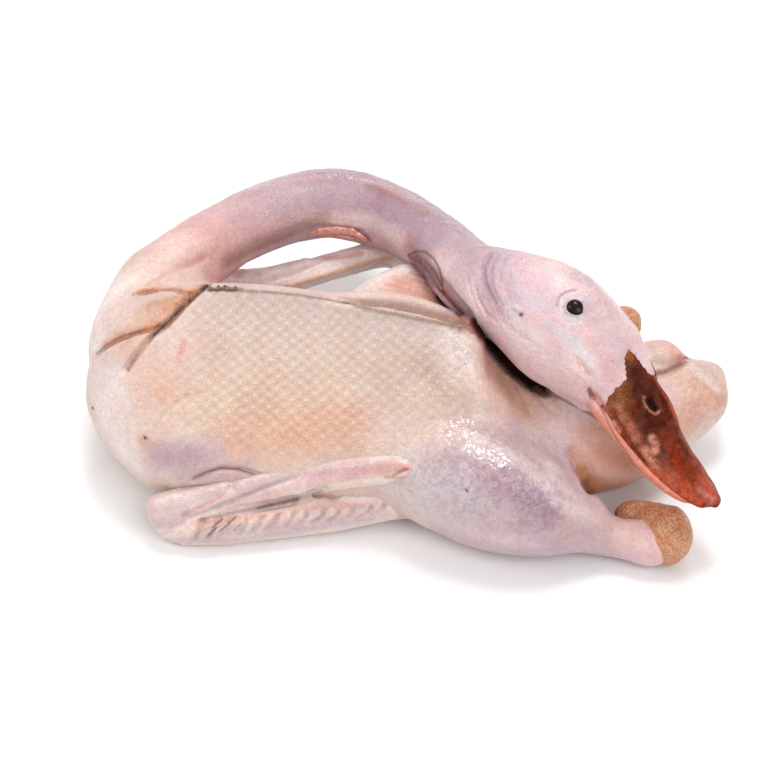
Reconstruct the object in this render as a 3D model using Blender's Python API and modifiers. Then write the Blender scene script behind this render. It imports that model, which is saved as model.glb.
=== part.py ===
"""A whole plucked duck that lies on its back, with its neck curled round its far side.

Each limb is a closed skin lofted through oval sections. The skins are fused into one
by a voxel remesh, their joints are melted, and the underside is cut flat where the
bird rests. X runs from breast to tail, Y away from the near side, Z up.
"""

import bmesh
import bpy
import numpy as np
from mathutils import Matrix, Vector

MM = 0.001

# Driving sizes, in millimetres.
KEEL_HEIGHT = 73.0
BODY_HALF_WIDTH = 45.0
NECK_RADIUS = 14.0
HEAD_HALF_DEPTH = 20.0
HEAD_HALF_WIDTH = 15.5
BILL_HALF_WIDTH = 12.5
BILL_HALF_DEPTH = 9.0
THIGH_RADIUS = 21.0
WING_HALF_WIDTH = 9.0

# The rows below are in a frame whose origin is under the middle of the body. These
# shifts bring the middle of the bounding box's base to the origin.
SHIFT_X = -8.4
SHIFT_Y = -9.0

SIDES = 48
RINGS_PER_ROW = 8
BELOW_POWER = 2.3
DOME_TURNS = (30, 55, 75, 88)

SKIN_VOXEL = 2.0
MELT_STEPS = 7
MELT_STRENGTH = 0.5
FACES_KEPT = 9600
CUTTER_DEPTH = 30.0
CUTTER_REACH = 400.0

SKIN_COLOUR = (0.80, 0.62, 0.54, 1.0)
SKIN_ROUGHNESS = 0.45

# Breast, belly and tail: x, the keel's y, then shares of the keel height and of the
# half width, the widest line's height, the base, the middle's y and the ridge power.
BODY_ROWS = (
    (-110, -11, 0.47, 0.16, 32, 19, -11, 2.0),
    (-104, -11, 0.60, 0.44, 31, 9, -11, 2.0),
    (-95, -10, 0.76, 0.71, 30, 3, -10, 1.9),
    (-85, -8, 0.88, 0.90, 30, -2, -10, 1.6),
    (-72, -6, 0.96, 0.99, 29, -3, -9, 1.35),
    (-55, -5, 1.00, 1.00, 28, -3, -8, 1.22),
    (-28, -9, 1.01, 1.00, 28, -3, -9, 1.18),
    (5, -14, 0.96, 1.00, 27, -3, -10, 1.15),
    (26, -16, 0.90, 0.99, 25, -3, -10, 1.22),
    (38, -16, 0.74, 0.97, 22, -3, -9, 1.60),
    (52, -13, 0.56, 0.94, 19, -3, -9, 2.0),
    (68, -10, 0.50, 0.92, 18, -3, -8, 2.0),
    (84, -8, 0.46, 0.82, 17, -2, -8, 2.0),
    (98, -8, 0.43, 0.62, 16, 0, -8, 2.0),
    (110, -7, 0.40, 0.45, 16, 5, -7, 2.2),
    (118, -5, 0.37, 0.34, 17, 9, -5, 2.4),
    (124, -4, 0.34, 0.24, 18, 13, -4, 2.4),
    (127, -4, 0.30, 0.14, 19, 16, -4, 2.4),
)

# Tube rows: x, y, z of the middle, then shares of the limb's size across and upwards.
NECK_ROWS = (
    (-60, -6, 33, 1.90, 1.90),
    (-78, -8, 36, 1.80, 1.80),
    (-89, -2, 39, 1.48, 1.52),
    (-90, 12, 42, 1.22, 1.24),
    (-85, 28, 44, 1.08, 1.10),
    (-75, 43, 44, 1.00, 1.00),
    (-62, 60, 42, 0.94, 0.94),
    (-43, 77, 39, 0.97, 0.97),
    (-22, 83, 39, 1.00, 1.00),
    (-1, 72, 42, 0.96, 0.96),
    (17, 44, 53, 0.88, 0.88),
    (29, 18, 60, 0.94, 0.96),
    (40, 2, 62, 1.05, 1.10),
)

HEAD_ROWS = (
    (37, 8, 64, 0.84, 0.72),
    (44, 1, 65, 0.94, 0.84),
    (53, -8, 66, 1.02, 0.97),
    (62, -17, 65, 1.02, 1.04),
    (70, -24, 61, 0.94, 0.94),
    (77, -31, 57, 0.84, 0.78),
    (84, -38, 53, 0.76, 0.62),
)

BILL_ROWS = (
    (76, -30, 58, 0.95, 1.30),
    (84, -38, 52, 0.88, 1.22),
    (91, -45, 46, 0.84, 0.88),
    (98, -52, 39, 0.90, 0.64),
    (106, -58, 33, 1.00, 0.50),
    (112, -63, 28, 0.92, 0.42),
    (115, -65, 26, 0.62, 0.32),
)

NEAR_LEG_ROWS = (
    (0, -34, 24, 0.80, 0.90),
    (18, -45, 23, 0.98, 1.00),
    (36, -53, 22, 1.06, 1.06),
    (50, -58, 19, 0.96, 0.96),
    (61, -61, 16, 0.76, 0.76),
    (70, -63, 13, 0.54, 0.56),
    (77, -65, 10, 0.38, 0.40),
    (84, -66, 9, 0.34, 0.36),
    (90, -67, 9.5, 0.42, 0.42),
    (96, -68.5, 11, 0.53, 0.51),
    (100, -69.5, 11, 0.48, 0.46),
)

FAR_LEG_ROWS = (
    (0, 22, 30, 0.85, 0.95),
    (16, 28, 32, 0.98, 0.95),
    (34, 31, 30, 1.00, 0.95),
    (48, 33, 26, 0.90, 0.88),
    (58, 34, 23, 0.70, 0.70),
    (66, 34.5, 20, 0.50, 0.52),
    (73, 34.5, 18, 0.37, 0.39),
    (79, 34, 17, 0.35, 0.37),
    (85, 33, 17, 0.46, 0.46),
    (90, 32, 17, 0.50, 0.48),
)

HAND_ROWS = (
    (-81, -56, 10, 0.62, 1.25),
    (-72, -55.5, 13, 0.58, 1.15),
    (-61, -54, 16, 0.52, 0.95),
    (-40, -51.5, 21, 0.50, 0.82),
    (-20, -51.5, 26, 0.50, 0.74),
    (1, -54, 32, 0.46, 0.66),
    (8, -56.5, 35, 0.38, 0.46),
)

FOREARM_ROWS = (
    (-79, -59, 8, 0.60, 0.90),
    (-63, -60, 8, 0.58, 0.92),
    (-42, -57.5, 8, 0.58, 0.90),
    (-17, -54, 9, 0.58, 0.90),
    (1, -52, 12, 0.58, 0.82),
    (12, -50, 14, 0.58, 0.80),
)

UPPER_ARM_ROWS = (
    (-70, -36, 11, 0.90, 0.90),
    (-32, -45, 9, 0.84, 0.84),
    (4, -49, 10, 0.84, 0.84),
)

FAR_HAND_ROWS = (
    (-84, 50, 14, 0.62, 0.95),
    (-72, 61, 14, 0.62, 0.90),
    (-60, 62, 16, 0.62, 0.84),
    (-48, 62, 17, 0.60, 0.72),
    (-34, 64, 18, 0.56, 0.58),
    (-18, 68, 20, 0.48, 0.44),
    (-5, 69, 23, 0.38, 0.34),
    (5, 67, 27, 0.30, 0.26),
    (14, 55, 34, 0.50, 0.50),
)

FAR_FOREARM_ROWS = (
    (-84, 54, 10, 0.60, 0.62),
    (-72, 66, 8, 0.72, 0.66),
    (-48, 70, 9, 0.70, 0.66),
    (-18, 76, 12, 0.52, 0.52),
    (0, 74, 15, 0.40, 0.40),
    (14, 58, 22, 0.60, 0.60),
)

FAR_UPPER_ARM_ROWS = (
    (-70, 18, 16, 0.90, 0.90),
    (-34, 36, 13, 0.80, 0.80),
    (-4, 50, 14, 0.76, 0.76),
    (12, 57, 19, 0.84, 0.84),
)

# Directions that an oval's second size points along.
UP = (0.0, 0.0, 1.0)
CROWN = (0.567, 0.381, 0.732)
BILL_TOP = (0.55, 0.33, 0.77)


def smooth_rows(rows):
    """Returns rows sampled along the Catmull-Rom curve that passes through them all."""
    knots = np.array(rows, dtype=float)
    knots = np.vstack((2 * knots[0] - knots[1], knots, 2 * knots[-1] - knots[-2]))
    shares = np.linspace(0.0, 1.0, RINGS_PER_ROW, endpoint=False)[:, None]
    spans = []
    for first in range(len(knots) - 3):
        before, start, end, after = knots[first:first + 4]
        spans.append(
            start
            + 0.5 * shares * (end - before)
            + shares**2 * (before - 2.5 * start + 2 * end - 0.5 * after)
            + shares**3 * (1.5 * (start - end) + 0.5 * (after - before))
        )
    spans.append(knots[-2][None, :])
    return np.vstack(spans)


def unit(vector):
    """Returns the vector at length one."""
    return vector / np.linalg.norm(vector)


def oval(middle, side, up, across, high):
    """Returns the points of an oval ring round its middle."""
    turn = np.linspace(0.0, 2 * np.pi, SIDES, endpoint=False)[:, None]
    return middle + np.cos(turn) * side * across + np.sin(turn) * up * high


def tube_rings(rows, size, top):
    """Returns the rings of a tube with rounded ends; rows give shares of the size."""
    stations = smooth_rows(rows)
    middles = stations[:, :3]
    halves = stations[:, 3:] * np.array(size)
    headings = np.gradient(middles, axis=0)
    rings = []
    for middle, heading, (across, high) in zip(middles, headings, halves):
        along = unit(heading)
        side = unit(np.cross(along, top))
        rings.append((middle, along, side, np.cross(side, along), across, high))
    first, last = rings[0], rings[-1]
    shapes = [domed(first, -1.0, turn) for turn in reversed(DOME_TURNS)]
    shapes += [oval(ring[0], *ring[2:]) for ring in rings]
    shapes += [domed(last, 1.0, turn) for turn in DOME_TURNS]
    return shapes


def domed(ring, way, turn):
    """Returns a ring of the rounded end beyond a tube's first or last ring."""
    middle, along, side, up, across, high = ring
    angle = np.radians(turn)
    reach = min(across, high) * np.sin(angle)
    narrow = np.cos(angle)
    return oval(middle + way * along * reach, side, up, across * narrow, high * narrow)


def body_ring(row):
    """Returns a section of the trunk, with its keel ridge leaning off the middle."""
    x, keel_y, top_share, width_share, widest, base, middle_y, power = row
    top = KEEL_HEIGHT * top_share
    turn = np.linspace(0.0, 2 * np.pi, SIDES, endpoint=False)
    cosine, sine = np.cos(turn), np.sin(turn)
    above = sine > 0.0
    bend = 2.0 / np.where(above, power, BELOW_POWER)
    across = np.sign(cosine) * np.abs(cosine) ** bend
    lift = np.sign(sine) * np.abs(sine) ** bend
    height = widest + lift * np.where(above, top - widest, widest - base)
    lean = np.where(above, lift, 0.0) * (keel_y - middle_y)
    y = middle_y + across * BODY_HALF_WIDTH * width_share + lean
    return np.column_stack((np.full(SIDES, x), y, height))


def place_ring(face, ring):
    """Moves a face's corners to a ring, in their order round the face."""
    for corner, point in zip(face.loops, ring):
        corner.vert.co = Vector(point * MM)


def loft(name, rings):
    """Returns a closed object whose skin runs through the rings, capped at both ends."""
    skin = bmesh.new()
    bmesh.ops.create_circle(skin, cap_ends=True, segments=SIDES, radius=MM)
    skin.faces.ensure_lookup_table()
    end = skin.faces[0]
    place_ring(end, rings[0])
    for ring in rings[1:]:
        grown = bmesh.ops.extrude_face_region(skin, geom=[end])["geom"]
        end = next(item for item in grown if isinstance(item, bmesh.types.BMFace))
        place_ring(end, ring)
    bmesh.ops.recalc_face_normals(skin, faces=skin.faces[:])
    return as_object(name, skin)


def as_object(name, shape):
    """Returns a new object in the scene that holds the finished bmesh."""
    mesh = bpy.data.meshes.new(name)
    shape.to_mesh(mesh)
    shape.free()
    thing = bpy.data.objects.new(name, mesh)
    bpy.context.scene.collection.objects.link(thing)
    return thing


def build_limbs():
    """Returns the lofted skins of the trunk, neck, head, bill, legs and wings."""
    neck_size = (NECK_RADIUS, NECK_RADIUS)
    head_size = (HEAD_HALF_WIDTH, HEAD_HALF_DEPTH)
    bill_size = (BILL_HALF_WIDTH, BILL_HALF_DEPTH)
    leg_size = (THIGH_RADIUS, THIGH_RADIUS)
    wing_size = (WING_HALF_WIDTH, WING_HALF_WIDTH)
    return [
        loft("trunk", [body_ring(row) for row in smooth_rows(BODY_ROWS)]),
        loft("neck", tube_rings(NECK_ROWS, neck_size, UP)),
        loft("head", tube_rings(HEAD_ROWS, head_size, CROWN)),
        loft("bill", tube_rings(BILL_ROWS, bill_size, BILL_TOP)),
        loft("near_leg", tube_rings(NEAR_LEG_ROWS, leg_size, UP)),
        loft("far_leg", tube_rings(FAR_LEG_ROWS, leg_size, UP)),
        loft("near_hand", tube_rings(HAND_ROWS, wing_size, UP)),
        loft("near_forearm", tube_rings(FOREARM_ROWS, wing_size, UP)),
        loft("near_upper_arm", tube_rings(UPPER_ARM_ROWS, wing_size, UP)),
        loft("far_hand", tube_rings(FAR_HAND_ROWS, wing_size, UP)),
        loft("far_forearm", tube_rings(FAR_FOREARM_ROWS, wing_size, UP)),
        loft("far_upper_arm", tube_rings(FAR_UPPER_ARM_ROWS, wing_size, UP)),
    ]


def join(limbs):
    """Returns one object that holds the meshes of all the limbs, still overlapping."""
    heap = bmesh.new()
    for limb in limbs:
        heap.from_mesh(limb.data)
        bpy.data.objects.remove(limb)
    return as_object("heap", heap)


def applied(source, name):
    """Returns a new object that holds the source's mesh with its modifiers applied."""
    seen = source.evaluated_get(bpy.context.evaluated_depsgraph_get())
    mesh = bpy.data.meshes.new_from_object(seen)
    mesh.name = name
    thing = bpy.data.objects.new(name, mesh)
    bpy.context.scene.collection.objects.link(thing)
    bpy.data.objects.remove(source)
    return thing


def fuse(limbs):
    """Returns one closed skin round all the limbs, with its joints melted."""
    heap = join(limbs)
    remesh = heap.modifiers.new("fuse", "REMESH")
    remesh.mode = "VOXEL"
    remesh.voxel_size = SKIN_VOXEL * MM
    melt = heap.modifiers.new("melt", "SMOOTH")
    melt.factor = MELT_STRENGTH
    melt.iterations = MELT_STEPS
    skin = applied(heap, "fused")
    triangles = sum(len(face.vertices) - 2 for face in skin.data.polygons)
    thin = skin.modifiers.new("thin", "DECIMATE")
    thin.ratio = FACES_KEPT / triangles
    return applied(skin, "duck")


def floor_cutter():
    """Returns the block that takes away all that lies below the floor."""
    block = bmesh.new()
    bmesh.ops.create_cube(block, size=1.0)
    size = Vector((CUTTER_REACH, CUTTER_REACH, CUTTER_DEPTH)) * MM
    bmesh.ops.scale(block, vec=size, verts=block.verts[:])
    bmesh.ops.translate(block, vec=Vector((0.0, 0.0, -CUTTER_DEPTH / 2 * MM)), verts=block.verts[:])
    cutter = as_object("floor_cutter", block)
    cutter.hide_render = True
    cutter.display_type = "WIRE"
    return cutter


def skin_material():
    """Returns the pale plucked skin."""
    skin = bpy.data.materials.new("plucked_skin")
    skin.use_nodes = True
    shader = skin.node_tree.nodes["Principled BSDF"]
    shader.inputs["Base Color"].default_value = SKIN_COLOUR
    shader.inputs["Roughness"].default_value = SKIN_ROUGHNESS
    shader.inputs["Metallic"].default_value = 0.0
    return skin


def keep_in(name, things):
    """Moves objects into a new collection of their own."""
    group = bpy.data.collections.new(name)
    bpy.context.scene.collection.children.link(group)
    for thing in things:
        bpy.context.scene.collection.objects.unlink(thing)
        group.objects.link(thing)


def main():
    for thing in list(bpy.data.objects):
        bpy.data.objects.remove(thing)
    duck = fuse(build_limbs())
    duck.data.transform(Matrix.Translation(Vector((SHIFT_X, SHIFT_Y, 0.0)) * MM))
    duck.data.materials.append(skin_material())
    cutter = floor_cutter()
    rest = duck.modifiers.new("rest", "BOOLEAN")
    rest.operation = "DIFFERENCE"
    rest.solver = "EXACT"
    rest.object = cutter
    keep_in("duck", [duck])
    keep_in("cutters", [cutter])


main()
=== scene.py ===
"""The looks of a whole plucked duck that lies on its back with its neck curled.

The skin is lofted, fused, smoothed and then sculpted with named strokes. The bill,
the eyes, the hocks and the small trim are pieces of their own. All is in metres, in
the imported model's frame; the rows and strokes below are in millimetres.
"""

import logging
from collections.abc import Iterable, Iterator
from dataclasses import dataclass, field
from enum import Enum
from itertools import chain

import bmesh
import bpy
import numpy as np
from mathutils import Matrix, Vector, noise
from mathutils.bvhtree import BVHTree

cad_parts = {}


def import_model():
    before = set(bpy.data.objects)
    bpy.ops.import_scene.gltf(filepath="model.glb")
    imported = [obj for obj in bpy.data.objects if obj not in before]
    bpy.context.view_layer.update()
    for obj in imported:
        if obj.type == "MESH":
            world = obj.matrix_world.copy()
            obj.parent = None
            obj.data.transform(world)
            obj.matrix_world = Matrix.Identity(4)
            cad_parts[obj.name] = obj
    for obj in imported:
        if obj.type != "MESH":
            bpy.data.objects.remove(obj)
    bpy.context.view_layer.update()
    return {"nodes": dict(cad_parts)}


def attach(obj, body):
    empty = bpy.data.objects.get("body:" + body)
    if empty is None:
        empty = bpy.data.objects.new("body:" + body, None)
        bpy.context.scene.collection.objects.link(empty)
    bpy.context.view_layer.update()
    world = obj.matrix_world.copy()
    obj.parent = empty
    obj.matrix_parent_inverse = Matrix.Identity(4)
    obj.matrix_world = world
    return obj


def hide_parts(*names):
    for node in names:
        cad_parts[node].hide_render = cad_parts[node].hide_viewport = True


log = logging.getLogger("duck")

MM = 0.001

Point = tuple[float, float]
Place = tuple[float, float, float]
Path = tuple[Point, ...]
Rows = tuple[tuple[float, ...], ...]
Station = tuple[np.ndarray, np.ndarray, np.ndarray, np.ndarray, float, float]
Socket = bpy.types.NodeSocket

# The most distances in one table, so that it fits the memory.
LARGEST_TABLE = 3_000_000
# Pixels between the rays that trace a path.
PIXEL_STEP = 1.5
# Dot products of normals from which a mark starts to show, and the range to all of it.
TURNED_AWAY = -0.1
FACING_RANGE = 0.5
# Share of a sharp stroke's path over which it fades at its ends, and of depth kept there.
END_FADE = 0.18
END_DEPTH = 0.15
# Share of a stroke's reach over which its step rises.
STEP_WIDTH = 0.2
# Millimetres of depth, and more for each of reach, that a firm tint crosses.
FIRM_DEPTH = 2.5
FIRM_DEPTH_SHARE = 2
# Finish of the skin that no patch reaches: wet, follicle and goose.
PLAIN_FINISH = (0.12, 0.0, 0.35)

# Shift from the rows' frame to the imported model's, as in the part's source.
SHIFT = np.array((-8.4, -9.0, 0.0))

KEEL_HEIGHT = 73.0
BODY_HALF_WIDTH = 45.0
NECK_RADIUS = 14.0
HEAD_HALF_DEPTH = 20.0
HEAD_HALF_WIDTH = 15.5
THIGH_RADIUS = 21.0
WING_HALF_WIDTH = 9.0

UP = (0.0, 0.0, 1.0)
CROWN = (0.567, 0.381, 0.732)

TRUNK_ROWS: Rows = (
    (-110, -11, 0.47, 0.16, 32, 19, -11, 2.0),
    (-104, -11, 0.60, 0.44, 31, 9, -11, 2.0),
    (-95, -10, 0.76, 0.71, 30, 3, -10, 1.9),
    (-85, -8, 0.88, 0.90, 30, -2, -10, 1.6),
    (-72, -6, 0.96, 0.99, 29, -3, -9, 1.35),
    (-55, -5, 1.00, 1.00, 28, -3, -8, 1.22),
    (-28, -9, 1.01, 1.00, 28, -3, -9, 1.18),
    (5, -14, 0.96, 1.00, 27, -3, -10, 1.15),
    (26, -16, 0.90, 0.99, 25, -3, -10, 1.22),
    (38, -16, 0.74, 0.97, 22, -3, -9, 1.60),
    (52, -13, 0.56, 0.94, 19, -3, -9, 2.0),
    (68, -10, 0.50, 0.92, 18, -3, -8, 2.0),
    (84, -8, 0.46, 0.82, 17, -2, -8, 2.0),
    (98, -8, 0.43, 0.62, 16, 0, -8, 2.0),
    (110, -7, 0.415, 0.45, 16, 5, -7, 2.4),
    (118, -5, 0.40, 0.345, 17, 9, -5, 2.9),
    (124, -4, 0.385, 0.26, 18, 13, -4, 3.4),
    (127, -4, 0.36, 0.18, 19, 16, -4, 3.6),
)

NECK_ROWS: Rows = (
    (-60, -6, 33, 1.90, 1.90),
    (-78, -8, 36, 1.80, 1.80),
    (-89, -2, 39, 1.48, 1.52),
    (-90, 12, 42, 1.22, 1.24),
    (-85, 28, 44, 1.08, 1.10),
    (-75, 43, 44, 1.00, 1.00),
    (-62, 60, 42, 0.94, 0.94),
    (-43, 77, 39, 0.97, 0.97),
    (-22, 83, 39, 1.00, 1.00),
    (-1, 72, 42, 0.96, 0.96),
    (17, 44, 53, 0.88, 0.88),
    (29, 18, 60, 0.94, 0.96),
    (40, 2, 62, 1.05, 1.10),
)

HEAD_ROWS: Rows = (
    (37, 8, 64, 0.84, 0.72),
    (44, 1, 65, 0.94, 0.84),
    (53, -8, 66, 1.02, 0.97),
    (62, -17, 65, 1.02, 1.04),
    (70, -24, 62, 0.94, 0.96),
    (77, -31, 58.5, 0.84, 0.90),
    (83, -37, 56, 0.70, 0.66),
)

NEAR_LEG_ROWS: Rows = (
    (0, -34, 24, 0.80, 0.90),
    (18, -45, 23, 0.98, 1.00),
    (36, -53, 22, 1.06, 1.06),
    (50, -58, 19, 0.96, 0.96),
    (61, -61, 16, 0.76, 0.76),
    (70, -63, 13, 0.54, 0.56),
    (77, -65, 10, 0.38, 0.40),
    (84, -66.3, 9, 0.34, 0.36),
    (90, -67.6, 9, 0.39, 0.40),
    (94, -68.8, 9, 0.40, 0.40),
)

FAR_LEG_ROWS: Rows = (
    (0, 22, 30, 0.85, 0.95),
    (16, 28, 32, 0.98, 0.95),
    (34, 31, 30, 1.00, 0.95),
    (48, 33, 26, 0.90, 0.88),
    (58, 34, 23, 0.70, 0.70),
    (66, 34.5, 20, 0.50, 0.52),
    (73, 34.5, 18, 0.37, 0.39),
    (79, 34, 17, 0.35, 0.37),
    (84, 33, 17, 0.43, 0.43),
)

# Behind the keel's crest, and round the vent.
FLANK_ROWS: Rows = (
    (-38, 2, 60, 0.6, 0.6),
    (-14, -1, 61, 1.0, 0.9),
    (5, -2, 59.5, 1.2, 1.0),
    (19, -6, 57.5, 1.2, 1.0),
    (30, -11, 55.5, 0.9, 0.9),
)
VENT_ROWS: Rows = (
    (96, 9, 25.5, 0.8, 0.8),
    (103, 8, 27, 0.95, 0.9),
    (109, 4, 25.5, 0.8, 0.7),
)

HAND_ROWS: Rows = (
    (-79.5, -56, 10, 0.58, 1.16),
    (-72, -55.5, 13, 0.57, 1.12),
    (-61, -54, 16, 0.52, 0.95),
    (-40, -51.5, 21, 0.50, 0.82),
    (-20, -51.5, 26, 0.50, 0.74),
    (1, -54, 32, 0.46, 0.66),
    (8, -56.5, 35, 0.38, 0.46),
)

FOREARM_ROWS: Rows = (
    (-77.5, -59, 8, 0.58, 0.86),
    (-63, -60, 8, 0.58, 0.92),
    (-42, -57.5, 8, 0.58, 0.90),
    (-17, -54, 9, 0.58, 0.90),
    (1, -52, 12, 0.58, 0.82),
    (12, -50, 14, 0.58, 0.80),
)

UPPER_ARM_ROWS: Rows = (
    (-70, -36, 11, 0.90, 0.90),
    (-32, -45, 9, 0.84, 0.84),
    (4, -49, 10, 0.84, 0.84),
)

FAR_HAND_ROWS: Rows = (
    (-84, 50, 14, 0.62, 0.95),
    (-72, 61, 14, 0.62, 0.90),
    (-60, 61, 15, 0.62, 0.84),
    (-48, 61, 16, 0.62, 0.74),
    (-34, 64, 17.5, 0.68, 0.62),
    (-18, 68, 20.5, 0.64, 0.54),
    (-5, 70, 24.5, 0.54, 0.48),
    (5, 67.5, 29, 0.46, 0.42),
    (14, 55, 36, 0.50, 0.50),
)

FAR_FOREARM_ROWS: Rows = (
    (-84, 54, 10, 0.60, 0.62),
    (-72, 66, 8, 0.72, 0.66),
    (-48, 70, 9, 0.70, 0.66),
    (-18, 75.5, 12.5, 0.54, 0.54),
    (0, 73.5, 18, 0.42, 0.42),
    (14, 58, 26, 0.60, 0.60),
)

FAR_UPPER_ARM_ROWS: Rows = (
    (-70, 18, 16, 0.90, 0.90),
    (-34, 36, 13, 0.80, 0.80),
    (-4, 50, 14, 0.76, 0.76),
    (12, 57, 19, 0.84, 0.84),
)


def linear(colour: tuple[float, float, float]) -> np.ndarray:
    """Returns a display colour, in shares of 255, as linear light."""
    share = np.array(colour) / 255.0
    return np.where(share <= 0.04045, share / 12.92, ((share + 0.055) / 1.055) ** 2.4)


@dataclass(frozen=True)
class PhotoCamera:
    """The camera that sees the bird as the photograph does.

    Attributes:
        pitch: degrees that it looks down.
        distance: metres to the middle of the view on the floor.
        lens: focal length in millimetres.
        sensor: its width in millimetres.
        frame: the photo's width and height in pixels.
        target: x and y, in millimetres in the rows' frame, of the view's middle.
    """

    pitch: float = 45.2
    distance: float = 0.79
    lens: float = 94.0
    sensor: float = 36.0
    frame: int = 780
    target: Point = (1.4, 17.2)

    def axes(self) -> tuple[np.ndarray, np.ndarray, np.ndarray]:
        """Returns the directions to the right, up the picture and into it."""
        turn = np.radians(self.pitch)
        ahead = np.array((0.0, np.cos(turn), -np.sin(turn)))
        right = np.array((1.0, 0.0, 0.0))
        return right, np.cross(right, ahead), ahead

    def place(self) -> np.ndarray:
        """Returns the camera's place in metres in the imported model's frame."""
        middle = np.array((*self.target, 0.0)) + SHIFT
        return middle * MM - self.axes()[2] * self.distance

    def ray(self, pixel: Point) -> np.ndarray:
        """Returns the direction from the camera through a pixel of the picture."""
        right, up, ahead = self.axes()
        pixels = self.frame * self.lens / self.sensor
        half = self.frame / 2
        aim = ahead + right * (pixel[0] - half) / pixels + up * (half - pixel[1]) / pixels
        return aim / np.linalg.norm(aim)

    def build(self) -> None:
        """Puts the camera into the scene."""
        data = bpy.data.cameras.new("photo_camera")
        data.lens = self.lens
        data.sensor_width = self.sensor
        data.clip_end = 20.0
        camera = bpy.data.objects.new("photo_camera", data)
        camera.location = self.place()
        camera.rotation_euler = (np.radians(90.0 - self.pitch), 0.0, 0.0)
        bpy.context.scene.collection.objects.link(camera)
        bpy.context.scene.camera = camera


CAMERA = PhotoCamera()


@dataclass(frozen=True)
class Mark:
    """One mark on the skin along pixels of the photo.

    Attributes:
        path: pixels that the mark runs through; a single one makes a spot.
        reach: millimetres from the middle of the mark to where it fades.
    """

    path: Path
    reach: float


@dataclass(frozen=True)
class Stroke(Mark):
    """A mark of the modelling tool.

    Attributes:
        height: millimetres that the skin rises; below zero it sinks.
        rim: millimetres that the skin swells beside the mark.
        step: millimetres that the left side of the path stands above the right.
        sharp: whether the mark comes to an edge along its middle.
    """

    height: float
    rim: float = 0.0
    step: float = 0.0
    sharp: bool = False


class Tone(Enum):
    """Colours of the bird, in shares of 255 of a display's light."""

    MILK = (252, 242, 236)
    IVORY = (246, 232, 222)
    CREAM = (232, 210, 196)
    SAND = (216, 196, 178)
    STRAW = (226, 200, 174)
    PEACH = (238, 202, 180)
    APRICOT = (230, 184, 152)
    ORANGE = (222, 156, 112)
    ROSE = (228, 184, 178)
    PINK = (234, 202, 206)
    CORAL = (226, 146, 132)
    LILAC = (204, 184, 190)
    MAUVE = (188, 160, 170)
    PLUM = (156, 122, 136)
    WINE = (150, 98, 96)
    BLOOD = (140, 52, 40)
    GREY = (204, 190, 180)
    TAUPE = (176, 144, 128)
    UMBER = (128, 90, 70)
    SOOT = (74, 52, 44)
    # Near-black, used only for painted shade in gaps, creases and holes.
    PITCH = (44, 22, 20)
    BLUSH = (238, 216, 214)
    OCHRE = (190, 138, 84)
    HORN = (78, 26, 10)
    RUST = (148, 54, 22)
    TERRA = (208, 98, 70)
    SALMON = (236, 158, 134)
    HIDE = (220, 158, 116)
    FROST = (232, 238, 244)
    FOG = (206, 214, 218)


@dataclass(frozen=True)
class Tint(Mark):
    """A mark of colour, soft unless it is firm: the skin's own stains and tones, painted shade and painted
    highlights.

    Attributes:
        tone: the colour.
        strength: share of the colour along the middle of the mark.
        firm: whether it is a line with a clear edge.
    """

    tone: Tone
    strength: float
    firm: bool = False

    @property
    def deep(self) -> float:
        """Millimetres of depth that don't count, so that a firm line crosses a crease."""
        return FIRM_DEPTH + FIRM_DEPTH_SHARE * self.reach if self.firm else 0.0


class Mask(Enum):
    """What a channel of the finish attribute stands for."""

    WET = 0
    FOLLICLE = 1
    GOOSE = 2


@dataclass(frozen=True)
class Patch(Mark):
    """A soft area where a finish is stronger or weaker.

    Attributes:
        mask: which part of the finish.
        value: what it becomes in the middle of the mark, from 0 to 1.
    """

    mask: Mask
    value: float


@dataclass(frozen=True)
class Melt(Mark):
    """A soft area where fused limbs melt into each other.

    Attributes:
        share: how far a vertex moves towards its neighbours' middle at each step.
    """

    share: float


# Paths that more than one mark follows.
NOSTRIL = ((648, 400), (651, 405), (655, 409))
NAPE = ((485, 262), (505, 290), (500, 320))
SHOULDER_FOLD = ((194, 478), (206, 472), (220, 468), (238, 469), (262, 477))
NEAR_CREASE = ((97, 354), (106, 345), (118, 338), (136, 332), (158, 326))
FAR_CREASE = ((133, 295), (142, 292), (155, 290), (174, 289), (192, 293))
NAPE_WRINKLE = ((490, 254), (483, 266), (484, 284), (495, 303))
NAPE_LINE = ((505, 259), (499, 271), (500, 282))
EYE_RIM = ((565, 306), (566, 312), (572, 316), (580, 315), (584, 309), (583, 302), (576, 299),
           (568, 301), (565, 306))
EAR = ((521, 315),)
MOUTH_CORNER = ((589, 390), (591, 394), (593, 399))
FAR_WING_GROOVE = ((325, 258), (345, 256), (362, 253))


UPPER_BILL_ROWS: Rows = (
    (66.8, -23.8, 61.4, 9.0, 19.0),
    (71.7, -29.5, 57.4, 10.0, 20.5),
    (76.1, -34.5, 53.8, 11.0, 20.6),
    (80.8, -39.1, 50.2, 11.3, 18.8),
    (86.5, -44.6, 45.6, 11.4, 16.6),
    (89.8, -47.7, 42.8, 11.4, 15.0),
    (94.4, -51.5, 39.1, 11.5, 12.4),
    (100.4, -55.8, 35.1, 11.8, 8.9),
    (104.6, -58.4, 32.6, 11.4, 7.0),
    (108.8, -60.9, 29.9, 10.0, 5.3),
    (112.6, -62.3, 27.6, 7.4, 4.0),
    (115.1, -63.4, 26.2, 4.2, 2.4),
)

LOWER_BILL_ROWS: Rows = (
    (72, -29.2, 57, 9.1, 7.7),
    (76.1, -34.3, 53.5, 10.2, 7.3),
    (80.4, -39.6, 50.1, 11.3, 6.4),
    (86.1, -45.1, 45.4, 11.6, 6.0),
    (94.0, -52.1, 38.9, 11.9, 5.8),
    (100.0, -56.5, 35.0, 12.0, 5.4),
    (104.2, -59.1, 32.6, 11.5, 4.4),
    (107.6, -60.6, 30.4, 9.6, 3.0),
    (109.6, -61.4, 29.2, 7.6, 1.8),
)

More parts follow.
